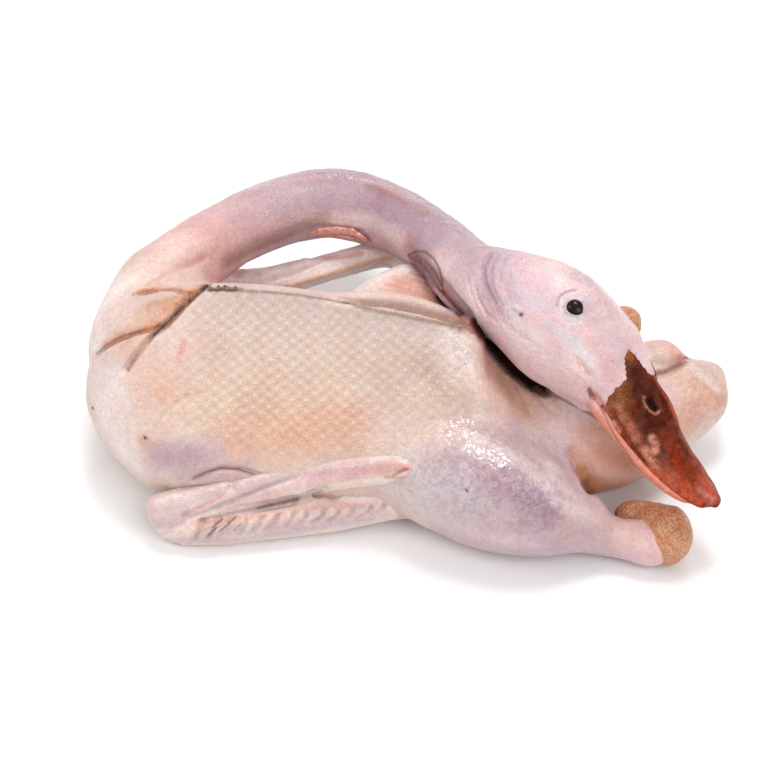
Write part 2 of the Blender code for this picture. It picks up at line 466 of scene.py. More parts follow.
BILL_STROKES = (
    Stroke(NOSTRIL, 2.6, -2.4, rim=0.8),
    Stroke(((668, 400), (680, 425), (692, 452)), 5.0, 0.5),
    Stroke(((630, 410), (640, 430), (655, 450)), 6.0, -0.5),
    Stroke(((640, 447), (660, 468), (684, 487)), 3.0, -0.35, rim=0.2),
    Stroke(((709, 487), (716, 495)), 4.0, 0.6),
    Stroke(((703, 478), (702, 488), (706, 499)), 1.6, -0.35),
)

BILL_TINTS = (
    Tint(((628, 350), (626, 372), (622, 392)), 5, Tone.OCHRE, 0.35),
    Tint(((612, 404), (620, 398), (628, 400)), 4, Tone.OCHRE, 0.5),
    Tint(((634, 372), (640, 392), (650, 420), (662, 446)), 8, Tone.HORN, 0.95),
    Tint(((642, 378), (650, 392)), 5, Tone.HORN, 0.7),
    Tint(((620, 412), (630, 430), (640, 446)), 3.2, Tone.RUST, 0.7),
    Tint(((640, 384), (655, 402), (664, 424), (676, 446), (690, 468)), 3.0, Tone.HORN, 0.7),
    Tint(((626, 404), (640, 424), (652, 444)), 2.6, Tone.HORN, 0.6),
    Tint(((610, 400), (626, 424), (648, 456), (670, 478)), 6.0, Tone.UMBER, 0.45),
    Tint(((652, 438), (656, 445), (655, 451)), 2.2, Tone.SALMON, 0.85),
    Tint(((645, 450), (649, 458), (656, 466)), 2.4, Tone.SALMON, 0.7),
    Tint(((618, 408), (628, 424), (638, 440)), 2.6, Tone.SALMON, 0.25),
    Tint(((656, 462), (672, 476), (688, 486)), 0.5, Tone.HORN, 0.5, True),
    Tint(((668, 440), (684, 458), (696, 474)), 5, Tone.RUST, 0.7),
    Tint(((604, 408), (618, 432), (632, 452), (648, 468)), 2.0, Tone.SALMON, 0.8),
    Tint(((613, 408), (624, 430), (636, 450), (650, 466)), 0.45, Tone.HORN, 0.6, True),
    Tint(((648, 468), (676, 490), (700, 502)), 2.4, Tone.TERRA, 0.8),
    Tint(((662, 470), (680, 482), (694, 490)), 2.6, Tone.TERRA, 0.6),
    Tint(((706, 482), (716, 495)), 5, Tone.TERRA, 0.9),
    Tint(((700, 490), (712, 500)), 3, Tone.CORAL, 0.5),
    Tint(((668, 402), (680, 424), (690, 446)), 1.6, Tone.TERRA, 0.6),
    Tint(((672, 420), (682, 440)), 1.2, Tone.SALMON, 0.5),
    Tint(((652, 382), (664, 402), (676, 430), (688, 455)), 2.4, Tone.HORN, 0.9),
    Tint(((644, 398), (649, 402), (655, 408)), 3.6, Tone.HORN, 0.8),
    Tint(((644, 397), (645, 404), (649, 410), (656, 414), (659, 411)), 0.6, Tone.SALMON, 0.6, True),
    # Painted shade in the nostril's hole.
    Tint(NOSTRIL, 1.5, Tone.PITCH, 1.0, True),
)

LOWER_BILL_TINTS = (
    Tint(((594, 400), (612, 434), (632, 462), (652, 480)), 5.0, Tone.SALMON, 0.7),
    Tint(((590, 398), (598, 408), (606, 418)), 5.0, Tone.ROSE, 0.8),
    Tint(((640, 470), (665, 493), (695, 506)), 3.0, Tone.TERRA, 0.6),
    Tint(((596, 396), (602, 410), (616, 438), (640, 472)), 0.5, Tone.BLOOD, 0.5, True),
)

# Where the fused limbs melt into each other.
BODY_MELTS = (
    Melt(((360, 440), (400, 425), (440, 420)), 20, 0.5),
    Melt(((470, 425), (520, 430), (560, 450)), 14, 0.5),
    Melt(((340, 470), (360, 500), (400, 505)), 12, 0.4),
    Melt(((500, 410), (540, 410), (580, 430)), 14, 0.5),
    Melt(((110, 330), (140, 320)), 12, 0.3),
    Melt(NAPE, 12, 0.4),
)
HEAD_MELTS = (Melt(NAPE, 12, 0.4),)

FORM_STROKES = (
    # The breast's end stands above the belly.
    Stroke(((470, 322), (474, 345), (478, 370), (482, 398)), 9, 1.6),
    Stroke(((500, 372), (512, 390), (522, 408)), 13, -2.2),
    # The belly falls away under the jaw.
    Stroke(((477, 318), (486, 333), (497, 349), (509, 364), (525, 377), (541, 386)), 4.2, -6.0),
    Stroke(((500, 335), (525, 360), (560, 380), (600, 400)), 9, -4.0),
    # The keel's near side drops below its crest.
    Stroke(((330, 298), (370, 304), (410, 310), (450, 319)), 5, -1.9),
    # The keel's crest.
    Stroke(((214, 291), (260, 292), (300, 297), (350, 306), (400, 316), (468, 331)), 4, 1.2, sharp=True),
    # The shoulder bulges under the breast, beside the wing.
    Stroke(((150, 465), (175, 470), (205, 468)), 16, 1.6),
    Stroke(SHOULDER_FOLD, 2.4, -1.5, rim=0.5, step=-0.8),
    # The folds where the neck turns over the shoulder.
    Stroke(((124, 372), (136, 357), (152, 337), (167, 323), (182, 308), (195, 295), (207, 286)),
           3.4, -2.4, rim=0.9),
    Stroke(((158, 330), (167, 323), (182, 308), (195, 295), (207, 286)), 2.4, -1.8, sharp=True),
    Stroke(((205, 286), (221, 275), (244, 257)), 3.4, -2.4, rim=0.4),
    Stroke(((118, 316), (140, 306), (165, 303), (186, 300)), 10, 1.8),
    Stroke(((128, 356), (140, 348), (150, 342)), 8, 1.4),
    Stroke(((136, 291), (158, 283), (182, 279), (200, 280)), 6, 1.6),
    Stroke(((130, 262), (160, 250), (200, 232)), 14, 1.0),
    # The thigh, the knee and the shank.
    Stroke(((430, 440), (470, 450), (505, 465)), 20, 1.2),
    Stroke(((520, 490), (550, 510)), 16, 0.9),
    Stroke(((392, 488), (420, 500)), 15, 1.0),
    # The belly's side and the rump's bulge.
    Stroke(((575, 452), (583, 470), (588, 488)), 5, -2.0),
    Stroke(((605, 462), (625, 465)), 14, 1.5),
    Stroke(((546, 375), (575, 392), (600, 412)), 6, -1.4),
    # The vent and the tail.
    Stroke(((648, 374), (660, 373), (672, 369), (684, 360)), 3.4, -2.6, rim=0.6),
    Stroke(((690, 372), (700, 390)), 8, 0.8),
)

FOLD_STROKES = (
    # Creases of the neck's base.
    Stroke(((94, 356), (106, 345), (118, 338), (136, 332), (158, 326)), 3.0, -1.7, rim=0.7, step=1.2),
    Stroke(NEAR_CREASE, 1.3, -1.5, sharp=True),
    Stroke(((130, 295), (142, 292), (155, 290), (174, 289), (192, 293)), 3.0, -1.6, rim=0.7, step=1.2),
    Stroke(FAR_CREASE, 1.3, -1.2, sharp=True),
    Stroke(((140, 303), (156, 298), (172, 297), (186, 300)), 1.6, -0.7, rim=0.4),
    Stroke(((156, 315), (166, 311), (176, 305)), 1.4, -0.7, rim=0.3),
    Stroke(((148, 285), (162, 276), (176, 270), (192, 265), (206, 258)), 3.0, -0.9, rim=0.4),
    Stroke(((128, 370), (136, 357), (146, 343), (156, 332)), 2.0, -1.4, rim=0.3),
    Stroke(((178, 309), (186, 303), (194, 300)), 2.0, -0.6),
    Stroke(((166, 262), (186, 252), (210, 246)), 4.5, 0.7),
    # Wrinkles at the bottom of the breast's front.
    *(Stroke(((200 - 9 * i, 392 + 1.5 * i), (181 - 6 * i, 402 + 3 * i), (165 - 4 * i, 416 + 3 * i),
              (155 - 2.4 * i, 432 + 2 * i), (150 - i, 443)), 1.5, -0.75 + 0.08 * i, rim=0.45)
      for i in range(5)),
    Stroke(((184, 344), (182, 350), (179, 357)), 1.5, -0.9, rim=0.2, sharp=True),
    # Wrinkles over the far thigh, under the neck.
    *(Stroke(((376 + 8 * i, 290 - 4.6 * i), (394 + 7.5 * i, 288 - 3 * i), (414 + 5.5 * i, 294 - 3 * i),
              (448 + 1.5 * i, 307 - 2 * i)), 1.5, -0.7 - 0.1 * (i % 3), rim=0.4) for i in range(7)),
    Stroke(((412, 258), (424, 272), (438, 288), (452, 304), (468, 322)), 2.2, -1.4, rim=0.4),
    # Creases of the belly beside the jaw.
    Stroke(((529, 388), (540, 398), (552, 412)), 2.4, -0.8, rim=0.3),
    Stroke(((540, 385), (551, 395), (563, 410)), 2.4, -0.7, rim=0.3),
    Stroke(((516, 385), (524, 398), (530, 414)), 3.2, -0.6, rim=0.3),
    # The hocks' skin edge.
    Stroke(((641, 521), (651, 533), (657, 546), (660, 563)), 1.8, 0.6),
)


HEAD_FORM_STROKES = (
    # Brow, cheek, the hollows before the eye, jaw and culmen.
    Stroke(((548, 283), (566, 286), (585, 295)), 8, 0.9),
    Stroke(((533, 330), (545, 345), (560, 355)), 12, 0.9),
    Stroke(((576, 348), (588, 352)), 7, -0.7),
    Stroke(((576, 362), (583, 369), (590, 376)), 3.6, -0.8, rim=0.3),
    Stroke(((500, 335), (520, 355), (548, 374), (575, 388)), 7, 0.7),
    Stroke(((603, 318), (616, 340), (628, 358)), 6, 0.5),
    Stroke(((555, 262), (585, 275), (605, 300), (625, 335), (645, 365)), 6, 0.6),
    # The neck: its flesh cut, the hollow beside the flap, and the nape.
    Stroke(((300, 228), (330, 226), (360, 232)), 4, 0.7),
    Stroke(((412, 262), (428, 278), (446, 298), (464, 318)), 7.5, -4.2),
    Stroke(((380, 195), (410, 213), (440, 238), (465, 262)), 6, -0.5),
    # Nothing of the skin stands through the horn.
    Stroke(((620, 402), (629, 407), (640, 414)), 5, -2.4),
    # The jaw meets the neck.
    Stroke(((487, 262), (480, 280), (482, 300), (492, 316)), 7, -0.8),
    # The jaw's skin is lifted off the belly.
    Stroke(((505, 368), (530, 389), (556, 400), (585, 410)), 7, -1.6),
)

HEAD_FOLD_STROKES = (
    # Nape wrinkles.
    Stroke(NAPE_WRINKLE, 2.6, -0.9, rim=0.3),
    Stroke(((497, 256), (490, 270), (492, 288), (501, 304)), 1.6, -0.6, rim=0.3),
    Stroke(NAPE_LINE, 1.5, -0.45, rim=0.25),
    Stroke(((505, 289), (510, 300)), 1.5, -0.35, rim=0.2),
    Stroke(((516, 258), (508, 270), (509, 277)), 2.0, -0.4, rim=0.2),
    Stroke(((526, 259), (520, 268), (519, 274)), 1.6, -0.3, rim=0.2),
    # Fine wrinkles of the cheek.
    *(Stroke(((500 + 9 * i, 322 + 8 * i), (510 + 9 * i, 326 + 7 * i), (519 + 9 * i, 336 + 5 * i)),
             1.4, -0.35, rim=0.25) for i in range(6)),
    Stroke(((478, 300), (486, 312), (497, 322)), 1.5, -0.6, rim=0.4),
    Stroke(((474, 285), (479, 300), (488, 318)), 1.5, -0.6, rim=0.4),
    Stroke(((466, 272), (470, 290), (478, 310)), 1.5, -0.4, rim=0.3),
    # Lids round the near eye.
    Stroke(((557, 305), (559, 297), (566, 292), (575, 290), (584, 293), (589, 300)), 1.4, -0.6, rim=0.4),
    Stroke(((556, 306), (558, 314), (565, 321), (574, 323), (583, 320)), 1.6, -0.5, rim=0.4),
    Stroke(EYE_RIM, 1.6, 0.8),
    # The ear.
    Stroke(((510, 314), (511, 309), (515, 307), (520, 310)), 1.3, 0.8),
    Stroke(EAR, 1.5, -1.2),
    # The mouth's corner and the cheek's pits.
    Stroke(MOUTH_CORNER, 1.8, -1.6, rim=0.3),
    Stroke(((596, 395), (600, 402), (605, 410)), 1.6, -0.5, rim=0.3),
    Stroke(((575, 357), (581, 361), (585, 367)), 1.5, -0.7, rim=0.3),
    Stroke(((560, 365), (572, 374), (584, 383)), 1.8, -0.3, rim=0.2),
    # The flesh cut along the neck.
    Stroke(((302, 229), (320, 226), (345, 227), (362, 231), (370, 240)), 1.8, -0.9, rim=0.3),
)


def quill_strokes(count: int = 13, start: float = 190.0, spacing: float = 15.2) -> tuple[Stroke, ...]:
    """Returns the row of slanted quill bumps along the forearm's hind edge.

    Args:
        count: how many quills.
        start: column of the first one, in pixels.
        spacing: pixels from each one to the next.

    Returns:
        Three strokes for each quill: its ridge, the groove beside it and its pit.
    """
    marks = []
    for number in range(count):
        x = start + spacing * number + 1.6 * np.sin(2.4 * number)
        low = 542.0 - 0.14 * (x - start) + 1.5 * np.cos(1.9 * number)
        high = 521.0 - 0.085 * (x - start) + 1.5 * np.sin(3.1 * number)
        middle = (x + 1, (low + high) / 2)
        tall = 0.65 + 0.2 * np.sin(1.7 * number)
        marks.append(Stroke(((x - 7, low), middle, (x + 7, high)), 1.8, tall))
        marks.append(Stroke(((x + 1, low - 2), (x + 9, middle[1]), (x + 14, high)), 1.2, -tall))
        marks.append(Stroke(((x + 11, high + 3), (x + 13, high - 1)), 1.4, -0.8))
    return tuple(marks)


NEAR_WING_STROKES = (
    # The thumb lies on the hand.
    Stroke(((158, 505), (180, 498), (205, 491), (226, 482)), 3.5, 0.8),
    Stroke(((184, 515), (200, 507), (214, 500), (225, 493), (230, 487)), 2.2, -1.1, rim=0.3, step=0.8),
    Stroke(((230, 478), (234, 483), (232, 489)), 1.6, -0.9, rim=0.3),
    # Ridges and grooves of the hand.
    Stroke(((194, 514), (218, 500), (242, 487), (268, 475), (290, 468)), 3.0, 0.9),
    Stroke(((188, 518), (208, 510), (228, 502), (262, 488), (296, 476)), 2.2, -1.1, rim=0.3),
    Stroke(((222, 512), (246, 505), (268, 498), (302, 485), (352, 476)), 2.6, 0.9),
    Stroke(((240, 497), (265, 489), (290, 481)), 1.3, -0.5, rim=0.2),
    # The deep groove between hand and forearm.
    Stroke(((198, 521), (225, 514), (257, 508), (276, 504), (300, 498), (322, 490)), 3.6, -2.6, rim=0.5),
    Stroke(((256, 508), (276, 504), (298, 499)), 1.8, -1.6, rim=0.3, sharp=True),
    Stroke(((330, 496), (350, 503), (372, 510)), 2.4, -0.9),
    # The tip.
    Stroke(((345, 481), (370, 478), (392, 473), (404, 470)), 1.6, -0.8, rim=0.3),
    Stroke(((393, 475), (400, 472), (408, 469)), 1.3, -0.9, rim=0.2, sharp=True),
    Stroke(((330, 470), (360, 466), (398, 464)), 3.0, 0.5),
    # The wrist.
    Stroke(((160, 512), (158, 524)), 8, 0.6),
    Stroke(((160, 537), (174, 528), (190, 521)), 2.6, -0.7, rim=0.3),
)

FAR_WING_STROKES = (
    Stroke(((270, 278), (300, 268), (322, 258)), 3.4, -1.6, rim=0.5),
    Stroke(FAR_WING_GROOVE, 2.4, -0.8, rim=0.3),
    Stroke(((290, 285), (330, 273), (370, 262), (396, 255)), 2.4, 0.9),
    Stroke(((262, 272), (285, 265), (305, 260)), 2.6, 0.8),
    Stroke(((246, 268), (256, 275)), 2.2, -0.7, rim=0.3),
)

SKIN_TINTS = (
    # Breast: grey above, straw in the middle, orange below, pale at the front.
    Tint(((225, 300), (300, 310), (380, 325), (440, 345)), 17, Tone.GREY, 0.75),
    Tint(((230, 350), (300, 360), (370, 375)), 20, Tone.SAND, 0.75),
    Tint(((200, 400), (260, 405), (330, 410)), 22, Tone.STRAW, 0.75),
    Tint(((230, 440), (290, 435), (350, 425)), 16, Tone.APRICOT, 0.6),
    Tint(((270, 425), (310, 430)), 10, Tone.APRICOT, 0.45),
    Tint(((400, 390), (440, 390)), 20, Tone.SAND, 0.7),
    Tint(((425, 370), (450, 385), (465, 400)), 9, Tone.TAUPE, 0.3),
    # Painted highlight on the breast's rear end.
    Tint(((455, 340), (460, 370)), 10, Tone.IVORY, 0.5),
    Tint(((105, 390), (108, 420), (125, 455)), 18, Tone.MILK, 0.8),
    Tint(((150, 375), (160, 400)), 14, Tone.PEACH, 0.5),
    Tint(((160, 380), (165, 392)), 7, Tone.APRICOT, 0.5),
    Tint(((143, 440), (150, 446)), 4, Tone.OCHRE, 0.4),
    # Painted shade: lilac and mauve under the breast beside the wing, and wine in the shoulder's fold.
    Tint(((160, 460), (185, 455), (210, 455)), 11, Tone.LILAC, 0.75),
    Tint(((168, 456), (190, 456)), 8, Tone.MAUVE, 0.7),
    Tint(((185, 475), (215, 472), (245, 468)), 7, Tone.LILAC, 0.6),
    Tint(SHOULDER_FOLD, 1.0, Tone.WINE, 0.75),
    Tint(((184, 343), (179, 358)), 2.2, Tone.CORAL, 0.6),
    # The breast's end, above the belly.
    Tint(((476, 320), (486, 345), (488, 372)), 6, Tone.CORAL, 0.55),
    Tint(((482, 338), (490, 358), (500, 376)), 5, Tone.WINE, 0.85),
    Tint(((470, 315), (480, 325)), 5, Tone.WINE, 0.45),
    # Neck's base and its creases. The creases' dark lines and their orange-brown edges are painted shade,
    # near-black in the gap between neck and breast.
    Tint(((110, 300), (140, 270), (180, 240)), 14, Tone.PEACH, 0.15),
    Tint(((92, 345), (98, 315), (115, 290)), 14, Tone.MILK, 0.9),
    Tint(((108, 345), (125, 335), (158, 325)), 4.2, Tone.ORANGE, 0.6),
    Tint(NEAR_CREASE, 0.5, Tone.UMBER, 0.55, True),
    Tint(((130, 334), (144, 330), (158, 326)), 0.5, Tone.BLOOD, 0.6, True),
    Tint(((140, 293), (160, 289), (190, 291)), 4.0, Tone.ORANGE, 0.6),
    Tint(FAR_CREASE, 0.4, Tone.UMBER, 0.35, True),
    Tint(((148, 331), (168, 312), (186, 296), (200, 285)), 4.4, Tone.ORANGE, 0.65),
    Tint(((128, 370), (136, 357), (152, 337), (160, 329)), 0.9, Tone.UMBER, 0.6),
    Tint(((207, 286), (222, 276), (244, 257)), 1.4, Tone.WINE, 0.7),
    Tint(((150, 340), (158, 330), (167, 323), (182, 308), (195, 295), (207, 286)),
         2.6, Tone.UMBER, 0.7),
    Tint(((154, 335), (167, 323), (182, 308), (195, 295), (207, 286)), 1.0, Tone.PITCH, 0.8),
    Tint(((176, 313), (186, 304), (197, 294), (207, 286)), 1.7, Tone.PITCH, 0.85),
    Tint(((164, 309), (174, 305), (184, 300)), 0.45, Tone.UMBER, 0.5, True),
    Tint(((172, 300), (184, 297), (194, 294)), 0.4, Tone.UMBER, 0.4, True),
    Tint(((148, 284), (165, 275), (192, 265), (206, 258)), 1.6, Tone.ORANGE, 0.35),
    Tint(((140, 316), (175, 300)), 7, Tone.APRICOT, 0.6),
    Tint(((150, 304), (168, 300), (186, 297)), 4.0, Tone.OCHRE, 0.4),
    Tint(((166, 306), (182, 298), (196, 290)), 4, Tone.ORANGE, 0.5),
    Tint(((120, 350), (140, 345)), 7, Tone.PEACH, 0.6),
    # The skin of the far thigh, under the neck: a painted highlight on its top, painted shade in its
    # wrinkles, and wine and blood-red skin along the fold against the neck with a near-black line of
    # painted shade in it.
    Tint(((354, 289), (375, 278), (400, 270)), 10, Tone.MILK, 0.9),
    Tint(((405, 280), (425, 292), (450, 306)), 7, Tone.PEACH, 0.7),
    Tint(((398, 284), (420, 292), (448, 304)), 9, Tone.APRICOT, 0.6),
    Tint(((400, 284), (424, 292), (450, 306)), 6, Tone.CORAL, 0.35),
    *(Tint(((380 + 8 * i, 289 - 4.4 * i), (414 + 5.5 * i, 295 - 3 * i), (448 + 1.5 * i, 308 - 2 * i)),
           1.4, Tone.TAUPE, 0.28) for i in range(7)),
    Tint(((408, 256), (420, 274), (432, 288), (448, 306), (470, 325)), 4.5, Tone.WINE, 0.7),
    Tint(((425, 276), (438, 292), (450, 304), (474, 329)), 2.4, Tone.BLOOD, 0.5),
    Tint(((440, 297), (452, 309), (474, 329)), 2.2, Tone.PITCH, 0.9, True),
    # The keel's dried crest, with painted shade in taupe and umber on the slope behind its rear half and
    # in a thin line along the crest.
    Tint(((352, 301), (378, 304), (400, 308), (420, 312), (440, 317), (462, 325)), 6.5, Tone.TAUPE, 0.8),
    Tint(((366, 303), (384, 305), (400, 308), (440, 317), (462, 324)), 5.0, Tone.UMBER, 0.6),
    Tint(((345, 303), (370, 309), (400, 315), (440, 323), (460, 328)), 1.7, Tone.UMBER, 0.75),
    Tint(((230, 290), (270, 292), (300, 295), (330, 300), (348, 304)), 1.3, Tone.UMBER, 0.7),
    Tint(((207, 290), (216, 288), (226, 287), (240, 288)), 2.0, Tone.SOOT, 0.7),
    Tint(((460, 318), (472, 326), (480, 338)), 4, Tone.CORAL, 0.6),
    # Belly and rump.
    Tint(((500, 380), (520, 400), (535, 415)), 12, Tone.ORANGE, 0.7),
    Tint(((490, 368), (505, 388), (525, 400), (540, 408)), 7, Tone.TAUPE, 0.7),
    Tint(((488, 385), (500, 410)), 8, Tone.PEACH, 0.4),
    Tint(((530, 395), (560, 415)), 9, Tone.PEACH, 0.6),
    # Painted light: the belly and the rump's side are paler under the head, to lift the head's shade.
    Tint(((540, 430), (570, 445), (590, 460)), 11, Tone.MILK, 0.6),
    Tint(((552, 470), (566, 492), (580, 505)), 7, Tone.IVORY, 0.6),
    Tint(((560, 410), (590, 430), (610, 450)), 14, Tone.MILK, 0.6),
    Tint(((596, 430), (620, 455), (640, 468)), 9, Tone.APRICOT, 0.6),
    Tint(((590, 440), (620, 465)), 12, Tone.PEACH, 0.5),
    Tint(((596, 458), (622, 462), (646, 460)), 9, Tone.ORANGE, 0.5),
    # Painted shade: darker orange and umber along the rump's underside and in the crease before it.
    Tint(((585, 478), (605, 488), (630, 484), (648, 474)), 7, Tone.ORANGE, 0.8),
    Tint(((588, 490), (610, 497), (634, 488), (648, 479)), 6, Tone.ORANGE, 0.9),
    Tint(((588, 493), (610, 499), (634, 491), (648, 482)), 3, Tone.UMBER, 0.45),
    Tint(((574, 450), (580, 466), (588, 488)), 4.0, Tone.ORANGE, 0.6),
    Tint(((580, 468), (585, 480), (591, 494)), 3.4, Tone.OCHRE, 0.6),
    Tint(((584, 482), (589, 491), (594, 498)), 2.2, Tone.UMBER, 0.7),
    Tint(((612, 425), (628, 445), (645, 468)), 7, Tone.ORANGE, 0.4),
    Tint(((690, 370), (715, 392)), 14, Tone.APRICOT, 0.6),
    Tint(((700, 385), (720, 400)), 7, Tone.ORANGE, 0.4),
    Tint(((690, 410), (670, 440)), 10, Tone.ORANGE, 0.5),
    # Painted highlight along the tail's top edge.
    Tint(((690, 366), (706, 378), (716, 388)), 4, Tone.MILK, 0.5),
    Tint(((645, 340), (662, 345), (678, 350)), 6, Tone.PEACH, 0.6),
    Tint(((650, 345), (664, 342), (676, 347)), 3.5, Tone.ROSE, 0.7),
    # Painted shade under the vent and in its fold.
    Tint(((654, 362), (668, 362), (682, 357)), 3.0, Tone.TAUPE, 0.6),
    Tint(((650, 374), (664, 372), (680, 365), (688, 356)), 1.8, Tone.WINE, 0.9),
    Tint(((672, 352), (684, 362)), 2.0, Tone.CORAL, 0.4),
    # Near thigh and shank.
    Tint(((400, 445), (440, 440), (480, 430)), 14, Tone.CREAM, 0.5),
    Tint(((440, 470), (470, 485), (510, 500)), 14, Tone.LILAC, 0.6),
    Tint(((400, 465), (440, 480), (470, 500)), 10, Tone.FOG, 0.4),
    Tint(((495, 476), (530, 495), (556, 514)), 10, Tone.MAUVE, 0.65),
    Tint(((512, 488), (530, 502), (548, 514)), 5, Tone.PLUM, 0.45),
    # Painted highlights: milk-white streaks along the tops of the thigh and the shank, where the wet
    # glints lie.
    Tint(((466, 436), (495, 446), (520, 462), (548, 486)), 5, Tone.MILK, 0.6),
    Tint(((556, 500), (575, 512), (600, 520)), 5, Tone.MILK, 0.5),
    Tint(((455, 450), (470, 462)), 6, Tone.LILAC, 0.5),
    Tint(((430, 515), (480, 535), (530, 545)), 6, Tone.BLUSH, 0.4),
    Tint(((565, 462), (580, 485), (600, 505)), 5, Tone.BLUSH, 0.5),
    Tint(((450, 455), (455, 458)), 4, Tone.MAUVE, 0.4),
    Tint(((400, 495), (430, 512), (460, 525)), 10, Tone.FOG, 0.35),
    Tint(((560, 530), (590, 535), (620, 545)), 9, Tone.PEACH, 0.4),
    Tint(((600, 520), (630, 528), (655, 545)), 8, Tone.PEACH, 0.45),
    Tint(((535, 520), (565, 532), (600, 534)), 9, Tone.MAUVE, 0.5),
    # Painted shade in the hollow under the jaw: near-black against the jaw, with wine and umber round it.
    Tint(((474, 326), (483, 341), (494, 357), (507, 374), (524, 388), (540, 395), (556, 396)),
         3.4, Tone.WINE, 0.5),
    Tint(((478, 322), (487, 337), (500, 355), (515, 371), (531, 383), (545, 390)),
         3.4, Tone.PITCH, 1.0, True),
    Tint(((536, 388), (542, 394), (550, 396)), 1.6, Tone.UMBER, 0.6),
    Tint(((548, 391), (562, 398), (580, 407), (600, 420)), 1.0, Tone.UMBER, 0.7, True),
)

# Where the neck's two pieces overlap, both get these tints, painted shade and light among them.
NECK_TINTS = (
    Tint(((120, 290), (150, 262), (190, 238)), 9, Tone.IVORY, 0.35),
    Tint(((200, 225), (250, 205), (290, 198)), 10, Tone.ROSE, 0.4),
    Tint(((215, 245), (250, 230), (285, 218)), 7, Tone.ROSE, 0.4),
    # Painted shade on the neck's underside, taupe, with wine in the crevice along it.
    Tint(((225, 262), (255, 245), (290, 232), (320, 222)), 5, Tone.TAUPE, 0.8),
    Tint(((228, 264), (258, 248), (292, 235)), 2.6, Tone.WINE, 0.4),
    Tint(((300, 212), (335, 212), (365, 222)), 5, Tone.ROSE, 0.4),
    Tint(((250, 196), (290, 182), (330, 177), (350, 180)), 6, Tone.PLUM, 0.35),
    Tint(((280, 206), (330, 200), (370, 208)), 7, Tone.MAUVE, 0.4),
    # Painted light: a paler band low on the neck, to lift the shade there.
    Tint(((340, 220), (370, 222), (400, 240)), 6, Tone.BLUSH, 0.8),
    Tint(((232, 214), (262, 205), (296, 197), (320, 194)), 9, Tone.MAUVE, 0.5),
    Tint(((372, 186), (396, 196), (424, 214)), 4.5, Tone.WINE, 0.55),
    Tint(((352, 178), (380, 184), (404, 196), (424, 210)), 2.4, Tone.ROSE, 0.5),
    Tint(((255, 188), (290, 179), (330, 176)), 3.0, Tone.ROSE, 0.4),
)

